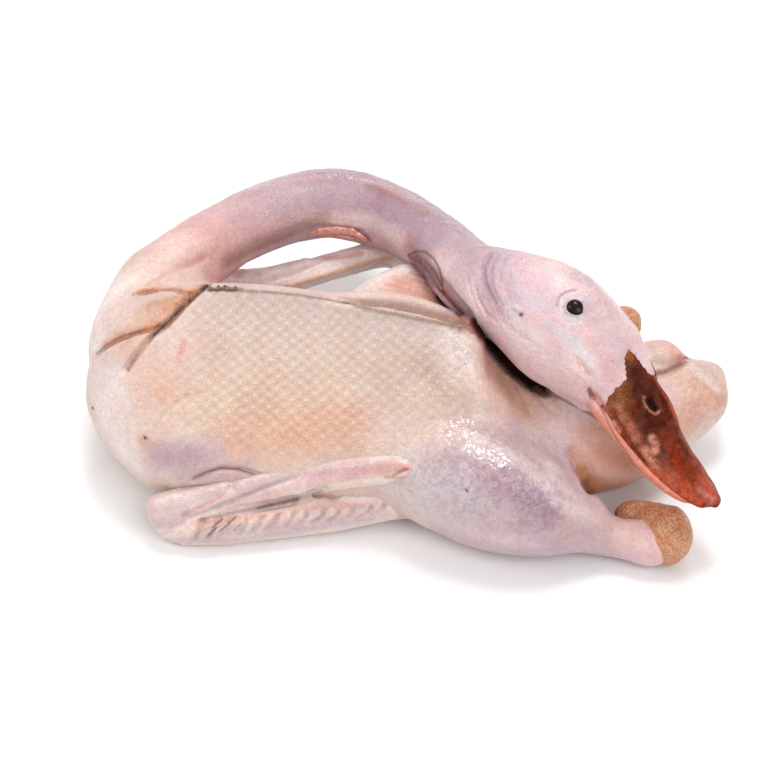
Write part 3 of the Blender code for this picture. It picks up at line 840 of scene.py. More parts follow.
HEAD_TINTS = (
    # Neck: pink and purple towards the head.
    Tint(((378, 200), (410, 218), (440, 240)), 6, Tone.PLUM, 0.4),
    Tint(((410, 210), (440, 232), (468, 254)), 5, Tone.MAUVE, 0.4),
    Tint(((430, 235), (460, 262), (478, 285)), 8, Tone.LILAC, 0.4),
    Tint(((412, 202), (434, 214), (458, 231), (485, 247)), 2.6, Tone.WINE, 0.3),
    Tint(((400, 240), (440, 275), (480, 320)), 8, Tone.ROSE, 0.4),
    Tint(((440, 256), (462, 282), (486, 318)), 9, Tone.PINK, 0.5),
    Tint(((436, 262), (462, 292), (487, 330)), 6, Tone.BLUSH, 0.8),
    # Flesh cut and flap.
    Tint(((276, 243), (300, 234), (330, 231), (350, 232), (368, 240)), 3.2, Tone.CORAL, 0.8),
    Tint(((300, 229), (320, 226), (345, 227), (362, 230)), 1.4, Tone.WINE, 0.6),
    Tint(((356, 230), (366, 236), (370, 241)), 1.8, Tone.BLOOD, 0.7),
    Tint(((375, 240), (395, 250), (408, 258)), 4, Tone.ROSE, 0.6),
    Tint(((412, 260), (420, 270), (433, 286)), 2.4, Tone.PLUM, 0.7),
    Tint(((421, 258), (431, 268)), 1.8, Tone.TAUPE, 0.6),
    Tint(((409, 255), (417, 251), (426, 252), (434, 259), (440, 270), (443, 285)),
         0.6, Tone.UMBER, 0.75, True),
    Tint(((409, 255), (420, 262), (429, 272), (436, 284), (444, 294)), 1.0, Tone.WINE, 0.8, True),
    Tint(((436, 282), (446, 293), (456, 304), (470, 318)), 2.2, Tone.WINE, 0.7),
    Tint(((440, 288), (447, 297), (456, 307), (466, 318)), 0.9, Tone.BLOOD, 0.8, True),
    # Head.
    Tint(((515, 275), (540, 285), (545, 300)), 10, Tone.PINK, 0.4),
    Tint(((506, 302), (518, 322), (536, 342)), 5, Tone.FROST, 0.35),
    Tint(((528, 318), (546, 332), (556, 350)), 4, Tone.ROSE, 0.45),
    Tint(((562, 332), (580, 346), (592, 360)), 4.5, Tone.FROST, 0.4),
    Tint(((590, 342), (604, 364), (612, 380)), 4.5, Tone.ROSE, 0.6),
    Tint(((500, 262), (512, 272), (520, 290)), 3.5, Tone.FROST, 0.4),
    Tint(((548, 268), (560, 276), (556, 290)), 3, Tone.FROST, 0.35),
    Tint(((522, 298), (535, 300), (545, 306)), 5.5, Tone.FOG, 0.45),
    Tint(((495, 305), (515, 330), (545, 355)), 8, Tone.BLUSH, 0.6),
    Tint(((545, 325), (560, 335), (575, 345)), 5, Tone.FOG, 0.35),
    Tint(((560, 268), (590, 284), (610, 308), (628, 340)), 6, Tone.ROSE, 0.5),
    Tint(((590, 300), (602, 318)), 4, Tone.FOG, 0.3),
    Tint(((598, 312), (612, 340), (622, 362)), 9, Tone.ROSE, 0.6),
    Tint(((615, 335), (625, 348), (622, 362)), 4, Tone.LILAC, 0.5),
    Tint(((577, 362), (583, 367), (588, 373)), 1.8, Tone.CORAL, 0.5),
    Tint(((560, 375), (590, 392)), 6, Tone.ROSE, 0.6),
    Tint(MOUTH_CORNER, 1.6, Tone.BLOOD, 0.85),
    Tint(((597, 396), (603, 404)), 2.6, Tone.TERRA, 0.6),
    Tint(((575, 308),), 7, Tone.FOG, 0.5),
    Tint(((561, 301), (560, 310), (565, 317), (573, 320), (582, 318)), 2.2, Tone.FROST, 0.9),
    Tint(((565, 298), (575, 295), (584, 298), (587, 306)), 1.4, Tone.FOG, 0.6),
    # Painted shade in the fold of the upper lid.
    Tint(((557, 305), (559, 297), (566, 292), (575, 290)), 0.8, Tone.PLUM, 0.4),
    Tint(EYE_RIM, 0.8, Tone.TAUPE, 0.5),
    # Painted shade in the ear's pit.
    Tint(EAR, 1.4, Tone.SOOT, 0.9),
    Tint(((511, 311), (515, 308)), 1.4, Tone.FOG, 0.6),
    Tint(((493, 258), (487, 275), (490, 292), (500, 306)), 5, Tone.MAUVE, 0.55),
    Tint(NAPE_WRINKLE, 2.0, Tone.PLUM, 0.4),
    Tint(NAPE_LINE, 1.4, Tone.PLUM, 0.2),
    Tint(((502, 262), (508, 278), (513, 294)), 6, Tone.MAUVE, 0.45),
    Tint(((545, 268), (565, 268), (590, 282)), 6, Tone.LILAC, 0.4),
    Tint(((598, 312), (612, 336), (620, 356)), 9, Tone.LILAC, 0.5),
    Tint(((540, 270), (560, 262), (580, 270)), 6, Tone.IVORY, 0.4),
)

NEAR_WING_TINTS = (
    Tint(((200, 536), (260, 528), (340, 518), (380, 512)), 6, Tone.LILAC, 0.6),
    Tint(((152, 512), (160, 525), (172, 512)), 9, Tone.PINK, 0.6),
    Tint(((200, 500), (240, 488), (300, 478), (360, 470)), 5, Tone.PINK, 0.5),
    Tint(((156, 524), (170, 522), (184, 516)), 3.6, Tone.LILAC, 0.7),
    Tint(((184, 514), (205, 505), (222, 498)), 1.6, Tone.CORAL, 0.4),
    Tint(((180, 500), (205, 493), (228, 484)), 3.4, Tone.IVORY, 0.5),
    Tint(((236, 488), (280, 472), (330, 468), (366, 464)), 3.5, Tone.PINK, 0.5),
    Tint(((245, 481), (285, 467), (330, 464)), 2, Tone.IVORY, 0.5),
    Tint(((190, 516), (228, 502), (262, 488), (296, 476)), 1.8, Tone.LILAC, 0.8),
    Tint(((222, 510), (268, 497), (302, 485), (340, 478)), 3, Tone.ROSE, 0.5),
    Tint(((378, 470), (390, 466), (412, 468)), 4.2, Tone.CORAL, 0.7),
    Tint(((350, 474), (370, 470), (385, 468)), 3.4, Tone.ROSE, 0.6),
    Tint(((300, 474), (340, 472), (365, 470)), 4, Tone.ROSE, 0.5),
    # Painted shade in the deep groove between hand and forearm: wine, with a near-black core.
    Tint(((200, 520), (257, 508), (300, 498), (322, 491)), 1.4, Tone.WINE, 0.45),
    Tint(((258, 508), (276, 504), (298, 499)), 1.0, Tone.PITCH, 0.6),
    Tint(((393, 475), (408, 469)), 0.9, Tone.BLOOD, 0.5),
    Tint(((386, 477), (402, 478), (417, 476)), 1.4, Tone.OCHRE, 0.7),
    Tint(((193, 523), (260, 515), (320, 507), (375, 504)), 2.0, Tone.CORAL, 0.4),
    Tint(((200, 528), (235, 520)), 3.0, Tone.OCHRE, 0.35),
    *(Tint(((196 + 15.2 * i, 538 - 2.1 * i), (203 + 15.2 * i, 523 - 1.3 * i)), 1.0, Tone.APRICOT, 0.5)
      for i in range(12)),
    Tint(((170, 541), (230, 541), (300, 531), (370, 519)), 3.6, Tone.LILAC, 0.6),
)

FAR_WING_TINTS = (
    Tint(((275, 277), (300, 268), (320, 259)), 2.4, Tone.PINK, 0.5),
    Tint(((262, 271), (285, 265), (305, 260)), 3.4, Tone.MILK, 0.8),
    Tint(((290, 274), (305, 267)), 1.6, Tone.MAUVE, 0.3),
    Tint(FAR_WING_GROOVE, 2.0, Tone.CORAL, 0.6),
    Tint(((300, 277), (340, 265), (375, 256)), 3.0, Tone.IVORY, 0.5),
    Tint(((286, 288), (330, 274), (370, 262), (400, 255)), 1.9, Tone.APRICOT, 0.8),
    Tint(((238, 274), (250, 266), (258, 266)), 3.2, Tone.CORAL, 0.6),
)

SKIN_PATCHES = (
    # Where the lattice of follicles shows, and where it fades.
    Patch(((230, 330), (290, 345), (350, 360)), 30, Mask.FOLLICLE, 1.0),
    Patch(((220, 390), (280, 400), (340, 405)), 30, Mask.FOLLICLE, 1.0),
    Patch(((390, 370), (430, 375)), 26, Mask.FOLLICLE, 0.8),
    Patch(((180, 380), (200, 360)), 16, Mask.FOLLICLE, 0.6),
    Patch(((110, 400), (130, 440)), 20, Mask.FOLLICLE, 0.0),
    # Wet glints.
    Patch(((468, 436), (495, 445), (520, 462), (545, 482)), 13, Mask.WET, 1.0),
    Patch(((545, 482), (560, 500), (590, 508)), 7, Mask.WET, 0.8),
    Patch(((455, 340), (465, 360)), 7, Mask.WET, 0.9),
    Patch(((690, 362), (705, 375), (716, 388)), 8, Mask.WET, 0.9),
    Patch(((440, 290), (470, 325)), 5, Mask.WET, 0.8),
    # Goose bumps.
    Patch(((420, 470), (480, 480), (540, 505)), 22, Mask.GOOSE, 0.8),
    Patch(((480, 475), (520, 490), (550, 505)), 12, Mask.GOOSE, 1.0),
    Patch(((590, 520), (620, 535)), 10, Mask.GOOSE, 0.3),
    Patch(((460, 430), (520, 440)), 12, Mask.GOOSE, 0.7),
    Patch(((230, 350), (300, 370), (350, 390)), 30, Mask.GOOSE, 0.15),
    Patch(((690, 380), (705, 400)), 16, Mask.GOOSE, 0.8),
)


NECK_PATCHES = (
    Patch(((240, 190), (300, 174), (345, 174)), 4, Mask.WET, 0.7),
    Patch(((180, 250), (230, 222), (280, 203), (340, 200), (400, 215)), 20, Mask.FOLLICLE, 0.3),
    Patch(((250, 205), (290, 190), (330, 186)), 10, Mask.FOLLICLE, 0.45),
    Patch(((380, 215), (440, 245), (470, 280)), 18, Mask.FOLLICLE, 0.1),
)

WING_PATCHES = (
    Patch(((160, 505), (200, 493), (226, 482)), 4, Mask.WET, 0.7),
    Patch(((240, 482), (280, 470), (330, 465), (400, 462)), 4, Mask.WET, 0.7),
    Patch(((200, 530), (260, 524), (330, 516)), 5, Mask.WET, 0.5),
)

HEAD_PATCHES = (
    Patch(((345, 174), (400, 190), (440, 217), (480, 246)), 4, Mask.WET, 0.7),
    Patch(((580, 275), (600, 290), (615, 310)), 7, Mask.WET, 0.8),
    Patch(((580, 362), (595, 380)), 6, Mask.WET, 0.6),
    Patch(((303, 232), (340, 230), (368, 238)), 4, Mask.WET, 0.9),
    Patch(((530, 300), (560, 340)), 20, Mask.GOOSE, 0.2),
)


def smooth_rows(rows: Rows, steps: int) -> np.ndarray:
    """Returns rows sampled along the Catmull-Rom curve through them.

    Args:
        rows: the knots.
        steps: samples from each knot to the next.

    Returns:
        One row for each sample.
    """
    knots = np.array(rows, dtype=float)
    knots = np.vstack((2 * knots[0] - knots[1], knots, 2 * knots[-1] - knots[-2]))
    shares = np.linspace(0.0, 1.0, steps, endpoint=False)[:, None]
    spans = []
    for first in range(len(knots) - 3):
        before, start, end, after = knots[first : first + 4]
        spans.append(
            start
            + 0.5 * shares * (end - before)
            + shares**2 * (before - 2.5 * start + 2 * end - 0.5 * after)
            + shares**3 * (1.5 * (start - end) + 0.5 * (after - before))
        )
    spans.append(knots[-2][None, :])
    return np.vstack(spans)


def as_object(name: str, shape: bmesh.types.BMesh) -> bpy.types.Object:
    """Returns a new object in the scene that holds the finished bmesh.

    Args:
        name: the object's name.
        shape: the bmesh, which is freed.
    """
    mesh = bpy.data.meshes.new(name)
    shape.to_mesh(mesh)
    shape.free()
    thing = bpy.data.objects.new(name, mesh)
    bpy.context.scene.collection.objects.link(thing)
    return thing


def applied(source: bpy.types.Object, name: str) -> bpy.types.Object:
    """Returns a new object with the source's modifiers applied, and drops the source.

    Args:
        source: the object with the modifiers.
        name: the new object's name.
    """
    seen = source.evaluated_get(bpy.context.evaluated_depsgraph_get())
    mesh = bpy.data.meshes.new_from_object(seen)
    thing = bpy.data.objects.new(name, mesh)
    bpy.context.scene.collection.objects.link(thing)
    bpy.data.objects.remove(source)
    thing.name = name
    mesh.name = name
    return thing


def points_of(mesh: bpy.types.Mesh) -> np.ndarray:
    """Returns the places of a mesh's vertices."""
    flat = np.empty(len(mesh.vertices) * 3)
    mesh.vertices.foreach_get("co", flat)
    return flat.reshape(-1, 3)


def normals_of(mesh: bpy.types.Mesh) -> np.ndarray:
    """Returns the normals of a mesh's vertices."""
    flat = np.empty(len(mesh.vertices) * 3)
    mesh.vertices.foreach_get("normal", flat)
    return flat.reshape(-1, 3)


def set_points(mesh: bpy.types.Mesh, points: np.ndarray) -> None:
    """Moves a mesh's vertices to new places."""
    mesh.vertices.foreach_set("co", points.ravel())
    mesh.update()


def fused(heap: bmesh.types.BMesh, voxel: float, name: str) -> bpy.types.Object:
    """Returns a bmesh's shapes as one closed skin.

    Args:
        heap: the closed shapes, which may cross.
        voxel: millimetres between the skin's vertices.
        name: the new object's name.
    """
    rough = as_object("rough", heap)
    remesh = rough.modifiers.new("fuse", "REMESH")
    remesh.mode = "VOXEL"
    remesh.voxel_size = voxel * MM
    return applied(rough, name)


def finer(coarse: bpy.types.Object, name: str) -> bpy.types.Object:
    """Returns an object with four times the faces, rounded, under a name."""
    divided = coarse.modifiers.new("finer", "SUBSURF")
    divided.levels = 1
    divided.render_levels = 1
    return applied(coarse, name)


def cover(thing: bpy.types.Object, finish: bpy.types.Material) -> None:
    """Gives an object its one material and smooth faces."""
    thing.data.materials.clear()
    thing.data.materials.append(finish)
    thing.data.shade_smooth()


def near_chunks(points: np.ndarray, line: np.ndarray, room: float) -> list[np.ndarray]:
    """Returns which points lie near a line, in chunks for tables of their distances to it.

    Args:
        points: the points to choose from.
        line: the line's points.
        room: how far round the line's box to look.

    Returns:
        The chosen points' indices, in as few chunks as the largest table allows.
    """
    inside = (points > line.min(axis=0) - room) & (points < line.max(axis=0) + room)
    near = np.flatnonzero(np.all(inside, axis=1))
    return np.array_split(near, 1 + len(near) * len(line) // LARGEST_TABLE)


@dataclass
class Loft:
    """A closed tube of skin through oval sections.

    Attributes:
        rows: x, y, z, then the shares of the half sizes across and towards the top.
        size: the two half sizes that the shares are of.
        top: direction that the second half size points along.
        tones: colours along the tube, from its first row to its last.
        sides: points round each section.
        steps: sections from each row to the next.
        dome: degrees round each rounded end at which it has a section.
    """

    rows: Rows
    size: Point
    top: Place = UP
    tones: tuple[Tone, ...] = ()
    sides: int = 48
    steps: int = 8
    dome: tuple[int, ...] = (30, 55, 75, 88)

    def rings(self) -> list[np.ndarray]:
        """Returns the rings of the tube, with rounded ends."""
        stations = smooth_rows(self.rows, self.steps)
        halves = stations[:, 3:5] * np.array(self.size)
        headings = np.gradient(stations[:, :3], axis=0)
        frames = []
        for middle, heading, (across, high) in zip(stations[:, :3], headings, halves):
            along = heading / np.linalg.norm(heading)
            side = np.cross(along, self.top)
            side /= np.linalg.norm(side)
            frames.append((middle, along, side, np.cross(side, along), across, high))
        first = [self.domed(frames[0], -1.0, turn) for turn in reversed(self.dome)]
        last = [self.domed(frames[-1], 1.0, turn) for turn in self.dome]
        return first + [self.oval(f[0], *f[2:]) for f in frames] + last

    def oval(self, middle: np.ndarray, side: np.ndarray, up: np.ndarray, across: float,
             high: float) -> np.ndarray:
        """Returns the points of one oval section.

        Args:
            middle: its middle, in millimetres in the rows' frame.
            side: direction of its first half size.
            up: direction of its second half size.
            across: the first half size, in millimetres.
            high: the second half size.
        """
        turn = np.linspace(0.0, 2 * np.pi, self.sides, endpoint=False)[:, None]
        return middle + np.cos(turn) * side * across + np.sin(turn) * up * high

    def domed(self, station: Station, way: float, turn: float) -> np.ndarray:
        """Returns a ring of a rounded end, beyond its first or last station.

        Args:
            station: the end's middle, heading, side, top and two half sizes.
            way: 1 beyond the last station, and -1 before the first.
            turn: degrees round the end.
        """
        middle, along, side, up, across, high = station
        angle = np.radians(turn)
        reach = min(across, high) * np.sin(angle)
        narrow = np.cos(angle)
        return self.oval(middle + way * along * reach, side, up, across * narrow, high * narrow)

    def into(self, heap: bmesh.types.BMesh) -> None:
        """Adds the closed skin to a bmesh, by extruding a disc from ring to ring.

        Args:
            heap: the bmesh that takes the skin.
        """
        disc = bmesh.ops.create_circle(heap, cap_ends=True, segments=self.sides, radius=MM)
        end = disc["verts"][0].link_faces[0]
        rings = self.rings()
        self.place(end, rings[0])
        for number, ring in enumerate(rings[1:]):
            grown = bmesh.ops.extrude_face_region(heap, geom=[end])["geom"]
            if number:
                bmesh.ops.delete(heap, geom=[end], context="FACES_ONLY")
            end = next(item for item in grown if isinstance(item, bmesh.types.BMFace))
            self.place(end, ring)

    @staticmethod
    def place(face: bmesh.types.BMFace, ring: np.ndarray) -> None:
        """Moves a face's corners to a ring."""
        for corner, point in zip(face.loops, ring):
            corner.vert.co = Vector((point + SHIFT) * MM)


@dataclass
class TrunkLoft(Loft):
    """Breast, belly and tail: sections that are a ridge above and round below.

    Attributes:
        below_power: how square the sections are below, where 2 is an oval.
    """

    below_power: float = 2.3

    def rings(self) -> list[np.ndarray]:
        """Returns one section for each sampled row."""
        return [self.section(row) for row in smooth_rows(self.rows, self.steps)]

    def section(self, row: np.ndarray) -> np.ndarray:
        """Returns a section of the trunk, with its keel ridge leaning off the middle.

        Args:
            row: x, the keel's y, shares of the height and the half width, z of the widest
                place and of the back, y of the middle, and the ridge's power.
        """
        x, keel_y, top_share, width_share, widest, base, middle_y, power = row
        top = self.size[1] * top_share
        turn = np.linspace(0.0, 2 * np.pi, self.sides, endpoint=False)
        cosine, sine = np.cos(turn), np.sin(turn)
        above = sine > 0.0
        bend = 2.0 / np.where(above, power, self.below_power)
        across = np.sign(cosine) * np.abs(cosine) ** bend
        lift = np.sign(sine) * np.abs(sine) ** bend
        height = widest + lift * np.where(above, top - widest, widest - base)
        lean = np.where(above, lift, 0.0) * (keel_y - middle_y)
        y = middle_y + across * self.size[0] * width_share + lean
        return np.column_stack((np.full(self.sides, x), y, height))


@dataclass
class Touch:
    """The vertices that one mark reaches.

    Attributes:
        index: the vertices.
        away: their distances from the mark, as shares of its reach.
        along: how far along the path each one is, from 0 to 1.
        side: millimetres to the left of the path.
        facing: how far each one faces the way that the marked surface does.
    """

    index: np.ndarray
    away: np.ndarray
    along: np.ndarray
    side: np.ndarray
    facing: np.ndarray


def even_steps(line: np.ndarray, gap: float) -> np.ndarray:
    """Returns a polyline's rows at even gaps, its two ends among them.

    Args:
        line: the rows, whose first two or three columns are their places.
        gap: the distance from each returned row to the next.
    """
    lengths = np.linalg.norm(np.diff(line[:, :3], axis=0), axis=1)
    travelled = np.concatenate(((0.0,), np.cumsum(lengths)))
    stops = np.linspace(0.0, travelled[-1], max(2, int(np.ceil(travelled[-1] / gap)) + 1))
    return np.column_stack([np.interp(stops, travelled, column) for column in line.T])


@dataclass
class Clay:
    """A mesh that is pressed, stained and painted with shade and highlights along pixels of the
    photograph.

    Attributes:
        thing: the object to work on.
        longest_jump: metres between neighbouring hits past which a path has
            slipped to another surface.
    """

    thing: bpy.types.Object
    longest_jump: float = 0.012

    def __post_init__(self) -> None:
        """Reads the mesh."""
        self.refresh()

    def refresh(self) -> None:
        """Reads the mesh again after it has changed."""
        self.points = points_of(self.thing.data)
        self.normals = normals_of(self.thing.data)
        shape = bmesh.new()
        shape.from_mesh(self.thing.data)
        self.tree = BVHTree.FromBMesh(shape)
        shape.free()

    def trace(self, path: Path, gap: float) -> tuple[np.ndarray, np.ndarray]:
        """Returns the places and normals of a path of pixels on the surface.

        Args:
            path: the pixels.
            gap: metres from each returned place to the next.

        Returns:
            The places and the normals, which are empty if the path misses.
        """
        pixels = np.array(path, dtype=float)
        if len(pixels) > 1:
            pixels = even_steps(pixels, PIXEL_STEP)
        eye = Vector(CAMERA.place())
        found = []
        for pixel in pixels:
            hit, normal, _, _ = self.tree.ray_cast(eye, Vector(CAMERA.ray(pixel)))
            if hit is None:
                continue
            if found and np.linalg.norm(found[-1][:3] - np.array(hit)) > self.longest_jump:
                continue
            found.append(np.array((*hit, *normal)))
        line = np.array(found).reshape(-1, 6)
        if len(line) > 1:
            line = even_steps(line, gap)
        return line[:, :3], line[:, 3:]

    def touch(self, path: Path, reach: float, deep: float = 0.0) -> Touch | None:
        """Returns the vertices within reach of a path, or None if it misses.

        Args:
            path: the pixels of the path.
            reach: millimetres.
            deep: millimetres up to which distance along the photo's lines of sight doesn't
                count, so that a line stays whole over the walls of a crease.
        """
        places, normals = self.trace(path, max(reach / 6, 0.25) * MM)
        if not len(places):
            log.warning("a mark misses the surface: %s", path[0])
            return None
        far = reach * MM
        sight = places - CAMERA.place()
        sight /= np.linalg.norm(sight, axis=1, keepdims=True)
        tangents = np.gradient(places, axis=0) if len(places) > 1 else np.zeros((1, 3))
        lefts = np.cross(normals, tangents)
        lefts /= np.linalg.norm(lefts, axis=1, keepdims=True) + 1e-12
        kept = []
        for chunk in near_chunks(self.points, places, far + deep * MM):
            offsets = self.points[chunk, None] - places[None]
            if deep:
                behind = np.einsum("ijk,jk->ij", offsets, sight)
                spare = np.clip(behind, -deep * MM, deep * MM)
                offsets = offsets - spare[..., None] * sight[None]
            gaps = np.einsum("ijk,ijk->ij", offsets, offsets)
            best = gaps.argmin(axis=1)
            rows = np.arange(len(chunk))
            away = np.sqrt(gaps[rows, best]) / far
            side = np.einsum("ij,ij->i", offsets[rows, best], lefts[best]) / MM
            agree = np.einsum("ij,ij->i", self.normals[chunk], normals[best])
            facing = np.clip((agree - TURNED_AWAY) / FACING_RANGE, 0.0, 1.0)
            along = best / max(1, len(places) - 1)
            kept.append(np.column_stack((chunk, away, along, side, facing))[away < 1.0])
        table = np.vstack(kept)
        return Touch(table[:, 0].astype(int), *table[:, 1:].T)

    def touches(self, marks: Iterable[Mark], margin: float = 0.0) -> Iterator[tuple[Mark, Touch]]:
        """Yields each mark that meets the surface, with the vertices that it reaches.

        Args:
            marks: the marks.
            margin: millimetres to look beyond the marks' own reach.
        """
        for mark in marks:
            reached = self.touch(mark.path, mark.reach + margin)
            if reached is not None:
                yield mark, reached

    def press(self, strokes: tuple[Stroke, ...]) -> None:
        """Moves the surface in or out along its normals by each of the strokes.

        Args:
            strokes: the strokes, which all start from the surface as it is.
        """
        move = np.zeros(len(self.points))
        for stroke, reached in self.touches(strokes):
            move[reached.index] += self.lift(stroke, reached)
        set_points(self.thing.data, self.points + self.normals * move[:, None] * MM)
        self.refresh()

    @staticmethod
    def lift(stroke: Stroke, reached: Touch) -> np.ndarray:
        """Returns the millimetres by which a stroke lifts each vertex it reaches.

        Args:
            stroke: the stroke.
            reached: the vertices.
        """
        away = reached.away
        core = (1 - away**2) ** 3 if stroke.sharp else (1 - away**2) ** 2
        ring = 16 * away**2 * (1 - away) ** 2
        amount = stroke.height * core + stroke.rim * ring
        if stroke.step:
            amount += stroke.step * 0.5 * np.tanh(reached.side / (STEP_WIDTH * stroke.reach)) * core
        if stroke.sharp and len(stroke.path) > 1:
            ends = np.minimum(reached.along, 1 - reached.along)
            amount *= np.clip(ends / END_FADE + END_DEPTH, 0.0, 1.0)
        return amount * reached.facing

    def stain_and_painted_light(self, colours: np.ndarray, tints: tuple[Tint, ...]) -> None:
        """Blends tints, painted shade and highlights among them, into the vertices' colours, in their
        order.

        Args:
            colours: one linear colour for each vertex.
            tints: the tints.
        """
        for tint in tints:
            reached = self.touch(tint.path, tint.reach, tint.deep)
            if reached is None:
                continue
            fade = 1 - reached.away**4 if tint.firm else (1 - reached.away**2) ** 2
            share = tint.strength * fade * (1.0 if tint.firm else reached.facing)
            old = colours[reached.index]
            colours[reached.index] = old + share[:, None] * (linear(tint.tone.value) - old)

    def finish(self, values: np.ndarray, patches: tuple[Patch, ...]) -> None:
        """Blends patches into the vertices' finishes, in their order.

        Args:
            values: one row for each vertex, with a column for each mask.
            patches: the patches.
        """
        for patch, reached in self.touches(patches):
            share = (1 - reached.away**2) ** 2 * reached.facing
            old = values[reached.index, patch.mask.value]
            values[reached.index, patch.mask.value] = old + share * (patch.value - old)

    def roughen(self, scale: float, height: float) -> None:
        """Lifts the surface by soft noise.

        Args:
            scale: millimetres across one lump.
            height: millimetres that the noise reaches.
        """
        stretch = 1.0 / (scale * MM)
        lumps = np.array([noise.noise(Vector(point)) for point in self.points * stretch])
        moved = self.points + self.normals * lumps[:, None] * height * MM
        set_points(self.thing.data, moved)
        self.refresh()


def write_attribute(mesh: bpy.types.Mesh, name: str, values: np.ndarray) -> None:
    """Writes a colour attribute of a mesh.

    Args:
        mesh: the mesh.
        name: the attribute's name.
        values: three numbers for each vertex.
    """
    layer = mesh.color_attributes.new(name, "FLOAT_COLOR", "POINT")
    full = np.column_stack((values, np.ones(len(values))))
    layer.data.foreach_set("color", full.ravel().astype(np.float32))


@dataclass
class Graph:
    """The nodes of one material.

    Attributes:
        name: the material's name.
    """

    name: str

    def __post_init__(self) -> None:
        """Starts the material with an output and a shader."""
        self.material = bpy.data.materials.new(self.name)
        self.material.use_nodes = True
        self.tree = self.material.node_tree
        self.tree.nodes.clear()
        output = self.tree.nodes.new("ShaderNodeOutputMaterial")
        self.shader = self.tree.nodes.new("ShaderNodeBsdfPrincipled")
        self.tree.links.new(self.shader.outputs[0], output.inputs[0])
        self.place = self.node("ShaderNodeTexCoord", {}).outputs["Object"]

    def node(self, kind: str, inputs: dict[str | int, object], **settings: object) -> bpy.types.Node:
        """Returns a new node with its inputs set or linked.

        Args:
            kind: the node's type.
            inputs: values or sockets by the input's name or number.
            settings: the node's own properties.
        """
        made = self.tree.nodes.new(kind)
        for key, value in settings.items():
            setattr(made, key, value)
        for key, value in inputs.items():
            self.feed(made.inputs[key], value)
        return made

    def feed(self, socket: Socket, value: object) -> None:
        """Links a socket to another, or sets its value.

        Args:
            socket: the input.
            value: the other socket, or the value.
        """
        if isinstance(value, Socket):
            self.tree.links.new(value, socket)
        else:
            socket.default_value = value

    def shade(self, **inputs: object) -> None:
        """Feeds the shader's inputs; an underscore stands for a space."""
        for key, value in inputs.items():
            self.feed(self.shader.inputs[key.replace("_", " ")], value)

    def attribute(self, name: str) -> Socket:
        """Returns the colour of an attribute of the mesh."""
        return self.node("ShaderNodeAttribute", {}, attribute_name=name).outputs["Color"]

    def split(self, colour: Socket) -> list[Socket]:
        """Returns the three channels of a colour."""
        return list(self.node("ShaderNodeSeparateColor", {0: colour}).outputs)

    def noise(self, size: float, detail: float = 3.0, **inputs: object) -> Socket:
        """Returns noise.

        Args:
            size: millimetres across its largest lumps.
            detail: how many finer layers it has.
            inputs: values of its other inputs.
        """
        values = {"Vector": self.place, "Scale": 1.0 / (size * MM), "Detail": detail, **inputs}
        return self.node("ShaderNodeTexNoise", values).outputs[0]

    def cells(self, size: float, feature: str = "F1") -> Socket:
        """Returns the distance within cells of a size in millimetres."""
        values = {"Vector": self.place, "Scale": 1.0 / (size * MM)}
        return self.node("ShaderNodeTexVoronoi", values, feature=feature).outputs["Distance"]

    def spread(self, value: object, low: float, high: float, start: float = 0.0,
               end: float = 1.0) -> Socket:
        """Returns a value stretched from low..high to start..end, and clamped.

        Args:
            value: the value.
            low: what becomes the start.
            high: what becomes the end.
            start: the result at or before low.
            end: the result at or past high.
        """
        values = {0: value, 1: low, 2: high, 3: start, 4: end}
        return self.node("ShaderNodeMapRange", values).outputs[0]

    def sum(self, operation: str, first: object, second: object = 0.0,
            third: object = 0.0) -> Socket:
        """Returns the result of one operation on up to three numbers.

        Args:
            operation: its name.
            first: the first number.
            second: the second one.
            third: the third one.
        """
        values = {0: first, 1: second, 2: third}
        return self.node("ShaderNodeMath", values, operation=operation).outputs[0]

    def mix(self, share: object, first: object, second: object,
            blend: str = "MIX") -> Socket:
        """Returns a blend of two colours.

        Args:
            share: how much of the second one is in it.
            first: the first colour.
            second: the second one.
            blend: the way they blend.
        """
        made = self.node("ShaderNodeMix", {0: share}, data_type="RGBA", blend_type=blend)
        self.feed(made.inputs[6], first)
        self.feed(made.inputs[7], second)
        return made.outputs[2]

    def bump(self, height: object, depth: float, under: object = None) -> Socket:
        """Returns bumped normals.

        Args:
            height: the height, from 0 to 1.
            depth: millimetres that the height of 1 stands for.
            under: normals that the bumps lie on.
        """
        made = self.node("ShaderNodeBump", {"Height": height, "Distance": depth * MM})
        if under is not None:
            self.feed(made.inputs["Normal"], under)
        return made.outputs[0]


def opaque(tone: Tone) -> tuple[float, float, float, float]:
    """Returns a tone as a linear colour with alpha."""
    return (*linear(tone.value), 1.0)


